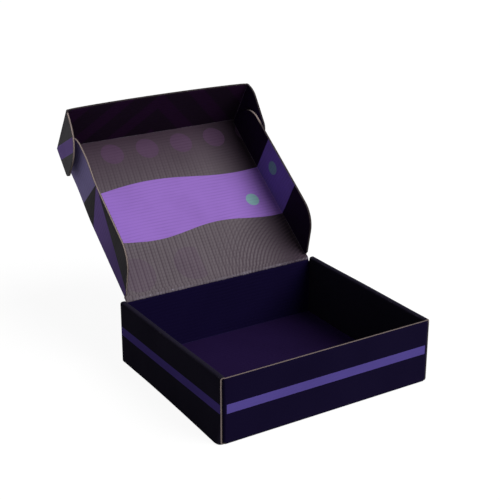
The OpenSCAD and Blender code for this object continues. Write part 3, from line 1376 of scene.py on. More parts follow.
@dataclass
class BoxPart:
    """Base of the sub-assemblies: holds what they share and dresses their pieces."""

    sizes: BoxSizes
    board: Board
    seats: Seats
    wardrobe: Wardrobe
    hinge_drop: float = 4.2

    def sheet_piece(self, name: str) -> BoardPiece:
        """An empty piece of this board."""
        return BoardPiece(name, self.board)

    @staticmethod
    def stand_in(piece: Object, body: str, slot: str) -> None:
        """Lets a piece ride on a body, in place of the CAD node of the same name.

        Args:
            piece: the piece.
            body: name of the body and of the node.
            slot: not used.
        """
        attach(piece, body)
        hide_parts(body)

    @staticmethod
    def bridge(piece: Object, bodies: tuple[str, str], start: Array, end: Array, slot: str) -> None:
        """Bakes the fold's transform into its mesh, and leaves it on neither body.

        Args:
            piece: the fold.
            bodies: not used.
            start: not used.
            end: the end, in millimetres.
            slot: not used.
        """
        tuple(end * MM)
        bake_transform(piece)

    def layers(self, inside: Material, outside: Material,
               inside_past: Material | None = None, outside_past: Material | None = None,
               edge: Material | None = None) -> Layers:
        """The materials by layer; the edge is bare paper where none is given.

        Args:
            inside: the inner liner.
            outside: the outer liner.
            inside_past: the inner liner behind the fold, where it differs.
            outside_past: the outer liner behind the fold, where it differs.
            edge: the cut edge.

        Returns:
            The materials.
        """
        return {
            Layer.INSIDE: inside,
            Layer.OUTSIDE: outside,
            Layer.INSIDE_PAST_FOLD: inside_past or inside,
            Layer.OUTSIDE_PAST_FOLD: outside_past or outside,
            Layer.RAW_EDGE: edge or self.wardrobe.raw_edge,
        }

    def fold(self, name: str, path: FoldPath, along: Array, place: Place,
             sheet: Place, layers: Layers) -> Object:
        """A strip of board bent round a fold and carried along it.

        Args:
            name: name of the piece.
            path: section of the fold.
            along: stations along the fold.
            place: turns section points and stations into points of the box's frame.
            sheet: turns shares of the section and stations into places on the sheet.
            layers: the materials.

        Returns:
            The strip.
        """
        inner = path.inner(self.board.thickness)
        return self.strip(name, inner, path.outer, path.share, along[None, :], place, sheet, layers)

    def strip(self, name: str, inner: Array, outer: Array, share: Array, stations: Array,
              place: Place, sheet: Place,
              layers: Layers, turn: float = 0.5,
              wear_skew: float = 1.0) -> Object:
        """A strip between two section lines, carried along a fold; its wear peaks on the fold.

        The wear is the square of a sine over the section's share.

        Args:
            name: name of the piece.
            inner: points of the inner liner's section.
            outer: points of the outer liner's section.
            share: distance along the section at each of its points, from 0 to 1.
            stations: stations along the fold, as one row.
            place: turns section points and stations into points of the box's frame.
            sheet: turns shares of the section and stations into places on the sheet.
            layers: the materials.
            turn: share of the section at which the print of the next panel starts.
            wear_skew: under 1, the wear peaks nearer the section's start.

        Returns:
            The strip.
        """
        shares = np.broadcast_to(share[:, None], (len(share), stations.shape[1]))
        middle = (share[:-1, None] + share[1:, None]) / 2
        past = np.broadcast_to(middle > turn, (len(share) - 1, stations.shape[1] - 1))
        piece = self.sheet_piece(name)
        piece.add(board_shell(
            place(inner[:, None], stations), place(outer[:, None], stations),
            sheet(shares, np.broadcast_to(stations, shares.shape)),
            past_fold=past, wear=np.sin(np.pi * shares ** wear_skew) ** 2, seams=("u0", "u1"),
        ))
        return piece.build(layers)


@dataclass
class Tray(BoxPart):
    """The tray: floor, front and back walls with their corner flaps, and rolled side walls."""

    wall_drop: float = 0.3
    corner_flap: float = 46.0
    tab_length: float = 27.0
    tab_pitch: float = 62.0
    tab_clear: float = 0.15
    tab_rise: float = 0.2
    top_turn: float = 70.0
    bow: float = 0.25
    bulge: float = 3.1
    bulge_height: float = 15.0
    bulge_bend: float = 27.0
    bulge_start: float = 44.0
    bulge_peak: float = -77.0
    bulge_growth: float = 1.5
    bulge_rows: tuple[float, float] = (1.0, 2.5)
    corner_wear: float = 0.5
    edge_wear_spread: float = 30.0

    def build(self) -> None:
        """Builds the tray's pieces, which stand for its CAD node."""
        pieces = [
            self.floor(), self.end_wall("front_wall", -1), self.end_wall("back_wall", 1),
            self.rolled_side(Side.LEFT), self.rolled_side(Side.RIGHT),
        ]
        for piece in pieces:
            self.stand_in(piece, "tray", "dark_board")

    @property
    def strip_width(self) -> float:
        """Width of the top of a rolled side wall, over its three plies."""
        return 3 * self.board.thickness + 2 * self.board.ply_gap

    @property
    def inner_x(self) -> float:
        """Distance of a side wall's inner face from the middle."""
        return self.sizes.half_w - self.strip_width

    @property
    def floor_top(self) -> float:
        """Height at which an inner side panel stands on the floor."""
        return self.board.thickness + self.board.ply_gap

    @property
    def side_half(self) -> float:
        """Half the length of a side wall, between the end walls' outer faces."""
        return self.sizes.half_d - self.board.thickness - self.board.ply_gap

    @property
    def straight_half(self) -> float:
        """Half the length of an end wall up to its corner folds."""
        return self.sizes.half_w - self.board.thickness - self.board.ply_gap - self.board.outer_r

    def tab_ends(self) -> list[float]:
        """The ends of both tabs of a side, from front to back.

        Returns:
            Four places along Y.
        """
        near = (self.tab_pitch - self.tab_length) / 2
        far = (self.tab_pitch + self.tab_length) / 2
        return [-far, -near, near, far]

    def sheet_y(self, y: Array) -> Array:
        """Place across the sheet of a point of the floor or of the sides."""
        return y - self.sizes.half_d - self.sizes.hinge_z

    def floor(self) -> Object:
        """The floor, with a slot for each tab.

        Returns:
            The piece.
        """
        r, clear = self.board.outer_r, self.tab_clear
        edge_x, edge_y = self.sizes.half_w - r, self.sizes.half_d - r
        slot = (self.inner_x - clear, self.inner_x + self.board.thickness + clear)
        grow = [-clear, clear, -clear, clear]
        ends = [end + g for end, g in zip(self.tab_ends(), grow)]
        x = spaced(-edge_x, -slot[1], -slot[0], *slot, edge_x, step=6.0)
        y = spaced(-edge_y, *ends, edge_y, step=6.0)
        mid_x, mid_y = (x[1:] + x[:-1]) / 2, (y[1:] + y[:-1]) / 2
        at_slot_x = (np.abs(mid_x) > slot[0]) & (np.abs(mid_x) < slot[1])
        at_slot_y = np.zeros(len(mid_y), bool)
        for low, high in zip(ends[::2], ends[1::2]):
            at_slot_y |= (mid_y > low) & (mid_y < high)
        keep = ~(at_slot_x[:, None] & at_slot_y[None, :])
        gx, gy = np.meshgrid(x, y, indexing="ij")
        piece = self.sheet_piece("tray_floor")
        piece.add(board_shell(
            stacked(gx, gy, self.board.thickness), stacked(gx, gy, 0.0), stacked(gx, self.sheet_y(gy)),
            keep=keep, seams=("u0", "u1", "v0", "v1"),
        ))
        return piece.build(self.layers(self.wardrobe.tray_floor, self.wardrobe.base))

    def end_wall(self, name: str, way: int) -> Object:
        """The front or back wall with its bottom fold, its two corners and its corner flaps.

        The wall is a plan line carried up a profile: at each station of the line, the profile's
        distance from the outer face is laid off along the line's inward normal.

        Args:
            name: name of the piece.
            way: -1 for the front wall and 1 for the back wall.

        Returns:
            The piece.
        """
        t, r = self.board.thickness, self.board.outer_r
        moves = [(self.straight_half, 0.0), (r, 90.0), (self.corner_flap, 0.0)]
        half = FoldPath.walk((0.0, 0.0), 0.0, moves)
        normal = heading_vector(half.heading + 90.0)
        plan = np.concatenate([half.outer[:0:-1] * [-1, 1], half.outer])
        normal = np.concatenate([normal[:0:-1] * [-1, 1], normal])
        run = np.concatenate([-half.run[:0:-1], half.run])
        turn = np.concatenate([half.heading[:0:-1], half.heading])
        angle = np.radians(spaced(0.0, 90.0, step=9.0))
        rise = spaced(0.0, 1.0, step=0.06)[1:]
        wall_top = self.sizes.side_h - (self.wall_drop if way < 0 else self.hinge_drop)
        flap_top = self.sizes.side_h - t - self.board.ply_gap
        tops = np.where(turn <= self.top_turn, wall_top, flap_top)[:, None]

        def liner(radius: float) -> tuple[Array, Array]:
            """Points and heights of the liner that has a radius round the bottom fold."""
            off = np.concatenate([r - radius * np.sin(angle), np.full(len(rise), r - radius)])
            fold_z = np.broadcast_to(r - radius * np.cos(angle), (len(plan), len(angle)))
            z = np.concatenate([fold_z, r + (tops - r) * rise], axis=1)
            flat = plan[:, None] + normal[:, None] * off[None, :, None]
            return stacked(flat[..., 0], way * (self.sizes.half_d - flat[..., 1]), z), z

        outer, z = liner(r)
        straight = np.abs(run[1:] + run[:-1]) / 2 < self.straight_half
        in_fold = np.arange(z.shape[1] - 1) < len(angle) - 1
        hinge_z = self.sizes.hinge_z
        across = (z - hinge_z) if way > 0 else -(z + 2 * self.sizes.half_d + hinge_z)
        wear = self.corner_wear * peak(turn, 45.0, 40.0)[:, None] * (z > r)
        piece = self.sheet_piece(name)
        piece.add(board_shell(
            liner(r - t)[0], outer, stacked(run[:, None], across),
            keep=straight[:, None] | ~in_fold[None, :], wear=wear,
            seams=("v0",) if way < 0 else ("v0", "v1"),
        ))
        return piece.build(self.layers(self.wardrobe.tray_inside, self.wardrobe.tray_front))

    def bulged(self, side: Side, path: FoldPath, y: Array) -> Array:
        """How far the left wall's outer panel is pressed outwards, low down and towards the front.

        Up the wall it is a bell curve, which sets in over the first degrees of the bottom fold. Along the
        wall it is a power of the way from its start to its peak, then a quarter ellipse down to the corner.

        Args:
            side: which wall; the right one stays flat.
            path: section of the wall.
            y: stations along the wall.

        Returns:
            The shift outwards, by station of the section and station along the wall.
        """
        if side is Side.RIGHT:
            return np.zeros((len(path.heading), len(y)))
        low = peak(path.outer[:, 1], 0.0, self.bulge_height)
        on_panel = np.clip(path.heading / self.bulge_bend, 0.0, 1.0) * (path.heading < 90.0 + TINY)
        growth = np.clip((self.bulge_start - y) / (self.bulge_start - self.bulge_peak), 0.0, 1.0)
        close = np.clip((self.bulge_peak - y) / (self.bulge_peak + self.side_half), 0.0, 1.0)
        along = growth ** self.bulge_growth * np.sqrt(1.0 - close ** 2)
        return self.bulge * (low * on_panel)[:, None] * along[None, :]

    def rolled_side(self, side: Side) -> Object:
        """A side wall: bottom fold, outer panel, top strip, inner panel and its tabs, carried along Y.

        The section is a chain of straight stretches and quarter circles, and its last stretch is the tabs'.

        Args:
            side: which wall.

        Returns:
            The piece.
        """
        t, r, h = self.board.thickness, self.board.outer_r, self.sizes.side_h
        path = FoldPath.walk((self.sizes.half_w - r, 0.0), 0.0, [
            (r, 90.0), (h - 2 * r, 0.0), (r, 90.0), (self.strip_width - 2 * r, 0.0), (r, 90.0),
            (h - r - self.floor_top, 0.0), (self.floor_top - self.tab_rise, 0.0),
        ])
        front = -self.side_half
        near_corner = [front + row for row in self.bulge_rows]
        y = spaced(front, *near_corner, *self.tab_ends(), self.side_half)
        mid_y = (y[1:] + y[:-1]) / 2
        low, near = self.tab_ends()[:2]
        in_tab = (np.abs(mid_y) > abs(near)) & (np.abs(mid_y) < abs(low))
        tab_row = (path.heading[1:] > 260.0) & (path.outer[1:, 1] < self.floor_top - TINY)

        def liner(section: Array) -> Array:
            """Points of one liner, with the wall's bulge and its slight bow.

            The bow is two cosines along the wall, times the square of the height's share.
            """
            x, z = section[:, None, 0], section[:, None, 1]
            phase = np.pi * y[None, :] / self.side_half
            swell = np.cos(phase / 2) * np.cos(phase)
            out = self.bow * np.clip(z / h, 0.0, 1.0) ** 2 * swell + self.bulged(side, path, y)
            return stacked((x + out) * side.value, y[None, :], z)

        sheet = stacked((self.sizes.half_w - r + path.run)[:, None] * side.value, self.sheet_y(y)[None, :])
        top_folds = (135.0, 225.0)
        worn = sum(peak(path.heading, middle, self.edge_wear_spread) for middle in top_folds)
        piece = self.sheet_piece(f"{side.word}_side_wall")
        piece.add(board_shell(
            liner(path.inner(t)), liner(path.outer), sheet,
            keep=~tab_row[:, None] | in_tab[None, :], wear=np.clip(worn, 0.0, 1.0)[:, None],
            seams=("u0",),
        ))
        inside, edge = self.wardrobe.left_wall_inside, self.wardrobe.raw_edge
        if side is Side.RIGHT:
            inside, edge = self.wardrobe.right_wall_inside, self.wardrobe.right_wall_edge
        return piece.build(self.layers(inside, self.wardrobe.tray_side, edge=edge))


@dataclass
class Lid(BoxPart):
    """The lid's panel and the crushed fold that hinges it to the back wall.

    A pull shapes a liner's curve round the hinge: how far its second control point lies behind the wall's
    liner and above the hinge line, and how far its third lies back along the lid.
    """

    half: float = 92.1
    widening: float = 1.9
    widening_length: float = 125.0
    left_hold: float = 78.0
    fold_reach: float = 3.2
    hinge_reach: float = 2.6
    front_reach: float = 3.4
    flap_to: float = 159.6
    corner_reach: float = 0.35
    sag: float = 0.35
    fold_stations: int = 18
    inner_pull: Triple = (-0.1, 0.25, 2.3)
    outer_pull: Triple = (0.0, -0.35, 1.2)
    blend_start: Triple = (0.0, -1.0, -0.8)
    blend_end: Triple = (0.0, 1.6, -0.6)

    def spread(self, s: Array, x: Array | float) -> Array:
        """How much wider the lid is at a distance from its hinge line, on the side that X is on.

        The width fades away by a smooth step, which starts later on the left.

        Args:
            s: distance from the hinge line.
            x: any place on the side that is asked for.

        Returns:
            The added width of that side.
        """
        hold = np.where(np.asarray(x) < 0, self.left_hold, 0.0)
        fade = np.clip((self.widening_length - s) / (self.widening_length - hold), 0.0, 1.0)
        return self.widening * fade * fade * (3.0 - 2.0 * fade)

    def build(self) -> None:
        """Builds the lid's panel and its hinge fold."""
        self.stand_in(self.panel(), "lid", "taupe_board")
        start = np.array([0.0, self.sizes.hinge_y, self.sizes.hinge_z]) + self.blend_start
        end = self.seats.on_lid(np.array(self.blend_end))
        self.bridge(self.hinge_fold(), ("tray", "lid"), start, end, "taupe_board")

    def panel(self) -> Object:
        """The flat panel: full width at its two ends, and up to the side folds between them.

        It sags by a half sine along it and a parabola across it.

        Returns:
            The piece.
        """
        t = self.board.thickness
        inner_half = self.half - self.fold_reach
        end = self.seats.lid_length - self.front_reach
        x = spaced(-self.half, -inner_half, inner_half, self.half)
        s = spaced(self.hinge_reach, self.flap_to, end)
        mid_x, mid_s = (x[1:] + x[:-1]) / 2, (s[1:] + s[:-1]) / 2
        keep = (np.abs(mid_x) < inner_half)[:, None] | (mid_s > self.flap_to)[None, :]
        gx, gs = np.meshgrid(x, s, indexing="ij")
        wide_x = gx * (1.0 + self.spread(gs, gx) / inner_half)
        wide_x += np.sign(gx) * self.corner_reach * (np.abs(gx) > self.half - TINY)
        reach = (gs - self.hinge_reach) / (end - self.hinge_reach)
        hang = -self.sag * np.sin(np.pi * reach) * np.clip(1 - (gx / inner_half) ** 2, 0, None)
        piece = self.sheet_piece("lid_panel")
        inner, outer = (self.seats.on_lid(stacked(wide_x, gs, hang - depth)) for depth in (0.0, t))
        piece.add(board_shell(inner, outer, stacked(gx, gs), keep=keep, seams=("v0", "v1")))
        return piece.build(self.layers(self.wardrobe.lid_inside, self.wardrobe.lid_outside))

    def hinge_fold(self) -> Object:
        """The crushed hinge: two curves, each with its ends tangent to the wall and to the lid.

        Returns:
            The piece.
        """
        low, top = self.sizes.side_h - self.hinge_drop, self.sizes.hinge_z
        y, t = self.sizes.hinge_y, self.board.thickness
        half = self.half + self.widening

        def curve(wall_y: float, depth: float, pull: Triple) -> Array:
            """The section of the liner that lies at a depth under the lid's face."""
            lid_end = self.seats.on_lid(np.array([0.0, self.hinge_reach, -depth]))[1:]
            turn = lid_end - pull[2] * heading_vector(self.sizes.lean)
            controls = [(wall_y, low), (wall_y + pull[0], top + pull[1]), turn, lid_end]
            return bezier(controls, self.fold_stations)

        def place(section: Array, stations: Array) -> Array:
            """Section points in Y and Z, carried along X."""
            return stacked(stations, section[..., 0], section[..., 1])

        def sheet(shares: Array, stations: Array) -> Array:
            """Places on the sheet, from the wall's top to the lid."""
            return stacked(stations, low - top + shares * (self.hinge_reach + top - low))

        layers = self.layers(self.wardrobe.tray_inside, self.wardrobe.tray_front,
                             self.wardrobe.hinge_inside, self.wardrobe.lid_outside)
        return self.strip(
            "hinge_fold", curve(y - t, 0.0, self.inner_pull), curve(y, t, self.outer_pull),
            np.linspace(0.0, 1.0, self.fold_stations), spaced(-half, half)[None, :], place, sheet, layers,
            turn=0.15, wear_skew=0.6)


@dataclass
class SideFlap(BoxPart):
    """A dust flap of the lid, with its fold."""

    side: Side = Side.RIGHT
    lid: Lid | None = None
    fold_top: float = 2.6
    front_height: float = 37.6
    rear_height: float = 38.0
    foot: float = 0.3
    rear_foot: float = 0.9
    front_foot: float = 160.0
    taper: float = 19.0
    front_lean: float = 6.5
    front_r: float = 22.5
    rear_r: float = 26.0
    least: float = 1.2
    top_half: float = 94.4
    free_length: float = 124.0
    splay_blend: float = 42.0
    right_splay: float = 0.2
    rungs: int = 90
    rung_points: int = 16
    blend_start: Triple = (0.0, 80.0, 0.05)
    blend_end: Triple = (0.0, 80.0, 2.2)

    @property
    def body(self) -> str:
        """The CAD body that the flap rides on."""
        return f"{self.side.word}_side_flap"

    def build(self) -> None:
        """Builds the flap and its fold."""
        slot = "violet_board" if self.side is Side.LEFT else "black_board"
        self.stand_in(self.panel(), self.body, slot)
        start, end = (self.seats.on_lid(np.array(at)) for at in (self.blend_start, self.blend_end))
        self.bridge(self.fold_strip(), ("lid", self.body), start, end, slot)

    def panel(self) -> Object:
        """The flap above its fold: rungs from the fold's end to the rounded outline.

        Returns:
            The piece.
        """
        outline = rounded_chain([
            (self.rear_foot, self.foot, 0.0),
            (self.rear_foot + self.taper, self.rear_height, self.rear_r),
            (self.front_foot - self.front_lean, self.front_height, self.front_r),
            (self.front_foot, self.foot, 0.0),
        ], count=16)
        fine = resampled(outline, count=2000)
        high = resampled(fine[fine[:, 1] > self.fold_top + self.least], self.rungs)
        foot = spaced(self.lid.hinge_reach, self.lid.flap_to)
        grid = ruled(resampled(stacked(foot, self.fold_top), self.rungs), high, self.rung_points)
        s, n = grid[..., 0], grid[..., 1]
        outer_x = self.lid.half + self.lid.spread(s, self.side.value) + self.splay(s, n)

        def liner(x: Array) -> Array:
            """Points of one liner at a distance from the middle."""
            return self.seats.on_lid(stacked(self.side.value * x, s, n))

        sheet = stacked(self.side.value * (self.lid.half + n), s)
        piece = self.sheet_piece(f"{self.side.word}_dust_flap")
        piece.add(board_shell(liner(outer_x - self.board.thickness), liner(outer_x), sheet, seams=("v0",)))
        edge = self.wardrobe.hook_edge if self.side is Side.RIGHT else self.wardrobe.raw_edge
        outside = self.wardrobe.lid_outside
        return piece.build(self.layers(self.wardrobe.side_flap_inside, outside, edge=edge))

    def splay(self, s: Array, n: Array) -> Array:
        """How far the flap's upper part leans outwards, in the stretch that the ears don't reach.

        It is in proportion to the height, and fades along the flap by a smooth step.

        Args:
            s: distance from the hinge line.
            n: height off the lid.

        Returns:
            The shift outwards.
        """
        share = 1.0 if self.side is Side.LEFT else self.right_splay
        room = self.top_half - self.lid.half - self.lid.spread(s, self.side.value)
        free = np.clip((self.free_length - s) / self.splay_blend, 0.0, 1.0)
        rise = np.clip((n - self.fold_top) / (self.rear_height - self.fold_top), 0.0, 1.0)
        return share * room * rise * free * free * (3.0 - 2.0 * free)

    def fold_strip(self) -> Object:
        """The fold between the lid and the flap, carried along the lid.

        Returns:
            The piece.
        """
        t = self.board.thickness
        start = self.lid.half - self.lid.fold_reach
        path = FoldPath.between((start, -t), 0.0, (self.lid.half, self.fold_top), 90.0, self.board.outer_r)
        s = spaced(self.lid.hinge_reach, self.lid.flap_to)

        def place(section: Array, stations: Array) -> Array:
            """Section points across the lid, carried along it."""
            x = section[..., 0] + self.lid.spread(stations, self.side.value)
            return self.seats.on_lid(stacked(self.side.value * x, stations, section[..., 1]))

        def sheet(shares: Array, stations: Array) -> Array:
            """Places on the sheet, from the lid to the flap."""
            end = self.lid.half + self.fold_top
            return stacked(self.side.value * (start + shares * (end - start)), stations)

        looks = self.wardrobe
        layers = self.layers(looks.lid_inside, looks.lid_outside, looks.side_flap_inside)
        return self.fold(f"{self.side.word}_dust_flap_fold", path, s, place, sheet, layers)


@dataclass
class FrontFlap(BoxPart):
    """The tuck-in front flap and its fold along the lid's front edge."""

    lid: Lid | None = None
    half: float = 94.4
    panel_half: float = 91.6
    fold_top: float = 2.6
    height: float = 47.0
    arch: float = 2.1
    bulge: float = 0.4
    flare_top: float = 1.2
    blend_start: Triple = (0.0, -2.6, -0.6)
    blend_end: Triple = (0.0, -0.4, 1.7)

    def build(self) -> None:
        """Builds the flap and its fold."""
        self.stand_in(self.panel(), "front_flap", "dark_board")
        front = np.array([0.0, self.seats.lid_length, 0.0])
        start = self.seats.on_lid(front + self.blend_start)
        end = self.seats.on_front_flap(front + self.blend_end)
        self.bridge(self.fold_strip(), ("lid", "front_flap"), start, end, "dark_board")

    def panel(self) -> Object:
        """The panel between the ears' folds, slightly arched along its top and bulged outwards.

        The arch is the square root of a cosine across the flap. The bulge is that cosine times the square
        of the height's share.

        Returns:
            The piece.
        """
        t = self.board.thickness
        front = self.seats.lid_length
        x = spaced(-self.panel_half, self.panel_half)
        n = spaced(self.fold_top, self.height)
        gx, gn = np.meshgrid(x, n, indexing="ij")
        rise = (gn - self.fold_top) / (self.height - self.fold_top)
        arch = np.cos(np.pi * gx / (2 * self.panel_half))
        gn = gn + self.arch * rise * np.clip(arch, 0.0, None) ** 0.5
        out = self.bulge * rise ** 2 * arch
        piece = self.sheet_piece("front_flap_panel")
        inner, outer = (self.seats.on_front_flap(stacked(gx, s + out, gn)) for s in (front - t, front))
        piece.add(board_shell(inner, outer, stacked(gx, front + gn), seams=("v0", "u0", "u1")))
        return piece.build(self.layers(self.wardrobe.front_flap_inside, self.wardrobe.lid_outside,
                                       edge=self.wardrobe.crushed_edge))

    def fold_strip(self) -> Object:
        """The fold between the lid and the front flap, carried along X.

        Returns:
            The piece.
        """
        t = self.board.thickness
        front = self.seats.lid_length
        start = front - self.lid.front_reach
        foot = np.array([0.0, front, self.fold_top])
        flap_open = self.sizes.flap_open
        opened = turned(foot, 0, (0, self.sizes.flap_axis, 0), -flap_open)
        path = FoldPath.between((start, -t), 0.0, opened[1:], 90.0 - flap_open, self.board.outer_r)
        x = spaced(-self.panel_half, self.panel_half)
        grown = (self.lid.half + self.lid.corner_reach) / self.panel_half - 1.0

        def place(section: Array, stations: Array) -> Array:
            """Section points along and off the lid, carried along X; wider towards the lid."""
            wide = 1.0 + grown * np.clip(self.flare_top - section[..., 1], 0.0, 1.0)
            return self.seats.on_lid(stacked(stations * wide, section[..., 0], section[..., 1]))

        def sheet(shares: Array, stations: Array) -> Array:
            """Places on the sheet, from the lid to the flap."""
            return stacked(stations, start + shares * (front + self.fold_top - start))

        looks = self.wardrobe
        layers = self.layers(looks.lid_inside, looks.lid_outside, looks.front_flap_inside)
        return self.fold("front_flap_fold", path, x, place, sheet, layers)


@dataclass
class Ear(BoxPart):
    """A locking ear of the front flap, tall at its fold and rounded behind; the right one is cut lower."""

    side: Side = Side.RIGHT
    flap: FrontFlap | None = None
    length: float = 39.9
    height: float = 47.0
    drop: float = 5.0
    rear_r: float = 24.0
    foot: float = 0.5
    low_foot: float = -1.4
    tip_height: float = 2.2
    tip_r: float = 7.0
    fold_reach: float = 2.2
    trim: float = 1.2
    curl: float = 0.05
    cut_start: Triple = (9.0, 46.8, 16.0)
    cut_height: float = 24.5
    cut_r: float = 14.0
    rungs: int = 48
    rung_points: int = 18
    blend_start: Triple = (-2.4, 1.0, 20.0)
    blend_end: Triple = (-0.85, -1.6, 20.0)

    @property
    def body(self) -> str:
        """The CAD body that the ear rides on."""
        return f"{self.side.word}_ear"

    @property
    def axis_s(self) -> float:
        """Place of the ear's fold along the lid."""
        return self.seats.ear_axis[1]

    def build(self) -> None:
        """Builds the ear and its fold."""
        slot = "taupe_board" if self.side is Side.LEFT else "violet_board"
        self.stand_in(self.panel(), self.body, slot)
        corner = np.array([self.flap.half, self.axis_s, 0.0])
        start = self.seats.on_front_flap((corner + self.blend_start) * [self.side.value, 1, 1])
        end = self.seats.on_ear(self.side)(corner + self.blend_end)
        self.bridge(self.fold_strip(), ("front_flap", self.body), start, end, slot)

    def outline(self) -> tuple[Array, Array]:
        """The ear's foot line and its top edge, both from the fold's end round to the rear edge.

        Returns:
            The points of the two lines.
        """
        shoulders = [(self.length, self.height - self.drop, self.rear_r)]
        if self.side is Side.RIGHT:
            shoulders = [self.cut_start, (self.length, self.cut_height, self.cut_r)]
        chain = rounded_chain([
            (0.0, self.height, 0.0), *shoulders,
            (self.length, self.tip_height, self.tip_r), (0.0, self.low_foot, 0.0),
        ], count=24)
        whole = resampled(chain, count=3000)
        split = int(np.argmax(whole[:, 0]))
        upper = whole[:split + 1]
        lower = whole[:split - 1:-1]
        return lower[lower[:, 0] > self.fold_reach], upper[upper[:, 0] > self.fold_reach]

    def panel(self) -> Object:
        """The ear past its fold: rungs from its foot line up to its top edge.

        It curls outwards by the square of the distance behind its fold.

        Returns:
            The piece.
        """
        lower, upper = (resampled(line, self.rungs, self.trim) for line in self.outline())
        grid = ruled(lower, upper, self.rung_points)
        back, n = grid[..., 0], grid[..., 1]
        outer_x = self.flap.half + self.curl * (back / self.length) ** 2
        seat = self.seats.on_ear(self.side)

        def liner(x: Array) -> Array:
            """Points of one liner at a distance from the middle, before the ear is spread."""
            return seat(stacked(x, self.axis_s - back, n))

        sheet = stacked(self.side.value * (self.flap.half + back), self.seats.lid_length + n)
        piece = self.sheet_piece(f"{self.side.word}_ear_panel")
        piece.add(board_shell(liner(outer_x - self.board.thickness), liner(outer_x), sheet, seams=("u0",)))
        edge = self.wardrobe.crushed_edge if self.side is Side.RIGHT else self.wardrobe.raw_edge
        return piece.build(self.layers(self.wardrobe.ear_inside, self.wardrobe.ear_outside, edge=edge))

    def fold_strip(self) -> Object:
        """The fold between the front flap and the ear, carried up the flap.

        Its section is drawn in X and in the distance back from the flap's outer face.

        Returns:
            The piece.
        """
        front = self.seats.lid_length
        spread = turned(np.array([self.flap.half, self.axis_s - self.fold_reach, 0.0]), 2,
                        self.seats.ear_axis, self.seats.ear_flare)
        path = FoldPath.between((self.flap.panel_half, 0.0), 0.0, (spread[0], front - spread[1]),
                                90.0 - self.seats.ear_flare, self.board.outer_r)
        n = spaced(self.low_foot, self.height)

        def place(section: Array, stations: Array) -> Array:
            """Section points, carried up the front flap."""
            flat = stacked(self.side.value * section[..., 0], front - section[..., 1], stations)
            return self.seats.on_front_flap(flat)

        def sheet(shares: Array, stations: Array) -> Array:
            """Places on the sheet, from the flap to the ear."""
            end = self.flap.half + self.fold_reach
            along = self.flap.panel_half + shares * (end - self.flap.panel_half)
            return stacked(self.side.value * along, front + stations)

        looks = self.wardrobe
        layers = self.layers(looks.front_flap_inside, looks.lid_outside,
                             looks.ear_inside, looks.ear_outside, looks.crushed_edge)
        return self.fold(f"{self.side.word}_ear_fold", path, n, place, sheet, layers)


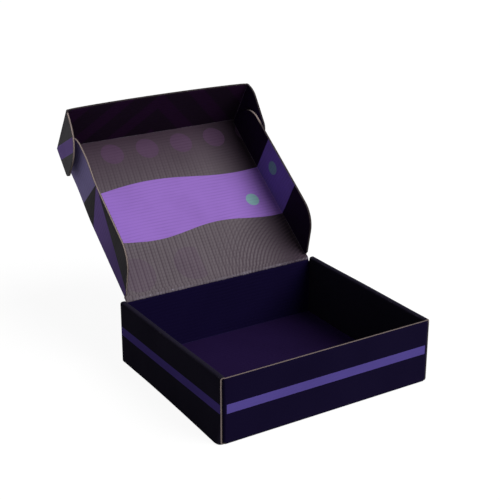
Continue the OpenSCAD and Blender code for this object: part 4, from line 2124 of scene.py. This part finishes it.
@dataclass(frozen=True)
class Studio:
    """Camera, light, surround and floor."""

    azimuth: float = -32.27
    elevation: float = 21.357
    roll: float = 0.126
    focal_px: float = 1189.4
    frame_px: float = 500.0
    sensor: float = 36.0
    distance: float = 800.0
    near_clip: float = 10.0
    target: Triple = (-100.82, -124.40, 172.31)
    key_from: Triple = (0.48, -0.55, 0.68)
    key: float = 2.8
    key_spread: float = 48.0
    ambient: float = 0.16
    floor_grey: float = 0.24
    floor_reach: float = 4.0
    floor_drop: float = 0.1
    floor_shade: float = 0.13
    floor_glow: float = 0.93

    def build(self) -> None:
        """Sets up the whole studio."""
        self.camera()
        self.lights()
        self.world()
        self.floor()
        bpy.context.scene.view_settings.view_transform = "Standard"

    def camera(self) -> None:
        """A camera at the photograph's viewing angle."""
        a, e = math.radians(self.azimuth), math.radians(self.elevation)
        back = Vector((math.sin(a) * math.cos(e), -math.cos(a) * math.cos(e), math.sin(e)))
        right = Vector((0, 0, 1)).cross(back).normalized()
        up = back.cross(right)
        data = bpy.data.cameras.new("view")
        data.sensor_width = self.sensor
        data.lens = self.focal_px / self.frame_px * self.sensor
        data.clip_start = self.near_clip * MM
        camera = bpy.data.objects.new("view", data)
        turn = Matrix((right, up, back)).transposed().to_4x4()
        turn @= Matrix.Rotation(math.radians(self.roll), 4, "Z")
        eye = (Vector(self.target) + back * self.distance) * MM
        camera.matrix_world = Matrix.Translation(eye) @ turn
        bpy.context.scene.collection.objects.link(camera)
        bpy.context.scene.camera = camera

    def lights(self) -> None:
        """A soft key light from the upper right."""
        data = bpy.data.lights.new("key", "SUN")
        data.energy = self.key
        data.angle = math.radians(self.key_spread)
        lamp = bpy.data.objects.new("key", data)
        lamp.rotation_mode = "QUATERNION"
        lamp.rotation_quaternion = Vector(self.key_from).to_track_quat("Z", "Y")
        bpy.context.scene.collection.objects.link(lamp)

    @staticmethod
    def seen(desk: Desk) -> Signal:
        """1 for the rays that see the backdrop: from the camera, mirrored or let through.

        Args:
            desk: places the nodes of the floor or the surround.

        Returns:
            The mask.
        """
        path = desk.node("ShaderNodeLightPath")
        clear = desk.math("MAXIMUM", path.outputs["Is Glossy Ray"], path.outputs["Is Transmission Ray"])
        return desk.math("MAXIMUM", path.outputs["Is Camera Ray"], clear)

    def world(self) -> None:
        """A dim even surround, which is white as a backdrop."""
        world = bpy.data.worlds.new("surround")
        world.use_nodes = True
        world.node_tree.nodes.clear()
        desk = Desk(world.node_tree)
        shade = desk.node("ShaderNodeBackground")
        shade.inputs["Color"].default_value = (1.0, 1.0, 1.0, 1.0)
        desk.feed(shade.inputs["Strength"], self.seen(desk) * (1.0 - self.ambient) + self.ambient)
        desk.feed(desk.node("ShaderNodeOutputWorld").inputs["Surface"], shade.outputs[0])
        bpy.context.scene.world = world

    def floor(self) -> None:
        """A pale floor that is grey to the object, and to the camera white but for the object's shadow."""
        reach = self.floor_reach
        around = ((-reach, -reach), (reach, -reach), (reach, reach), (-reach, reach))
        mesh = bpy.data.meshes.new("floor")
        mesh.from_pydata([(x, y, -self.floor_drop * MM) for x, y in around], [], [(0, 1, 2, 3)])
        floor = bpy.data.objects.new("floor", mesh)
        bpy.context.scene.collection.objects.link(floor)
        material = bpy.data.materials.new("floor")
        material.use_nodes = True
        material.node_tree.nodes.clear()
        desk = Desk(material.node_tree)
        seen = self.seen(desk)
        matt = desk.node("ShaderNodeBsdfDiffuse")
        grey, shade = ((level, level, level, 1.0) for level in (self.floor_grey, self.floor_shade))
        desk.feed(matt.inputs["Color"], desk.mix(seen, grey, shade))
        glow = desk.node("ShaderNodeEmission")
        desk.feed(glow.inputs["Strength"], seen * self.floor_glow)
        both = desk.node("ShaderNodeAddShader")
        desk.feed(both.inputs[0], matt.outputs[0])
        desk.feed(both.inputs[1], glow.outputs[0])
        desk.feed(desk.node("ShaderNodeOutputMaterial").inputs["Surface"], both.outputs[0])
        mesh.materials.append(material)
        floor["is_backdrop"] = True


def corners(box: tuple[Vector, Vector]) -> list[list[float]]:
    """A box's two corners as plain lists."""
    return [list(corner) for corner in box]


def main() -> None:
    """Builds the studio and the box."""
    logging.basicConfig(level=logging.INFO, format="%(message)s")
    board = Board()
    sizes = BoxSizes.from_frame()
    seats = Seats(sizes, board)
    wardrobe = Wardrobe(board, Inks(), seats)
    shared = (sizes, board, seats, wardrobe)
    Studio().build()
    Tray(*shared).build()
    lid = Lid(*shared)
    lid.build()
    front_flap = FrontFlap(*shared, lid=lid)
    front_flap.build()
    for side in Side:
        SideFlap(*shared, side=side, lid=lid).build()
        Ear(*shared, side=side, flap=front_flap).build()
    {"cad": corners(CAD_BOX), "visual": corners(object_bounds())}


if __name__ == "__main__":
    main()
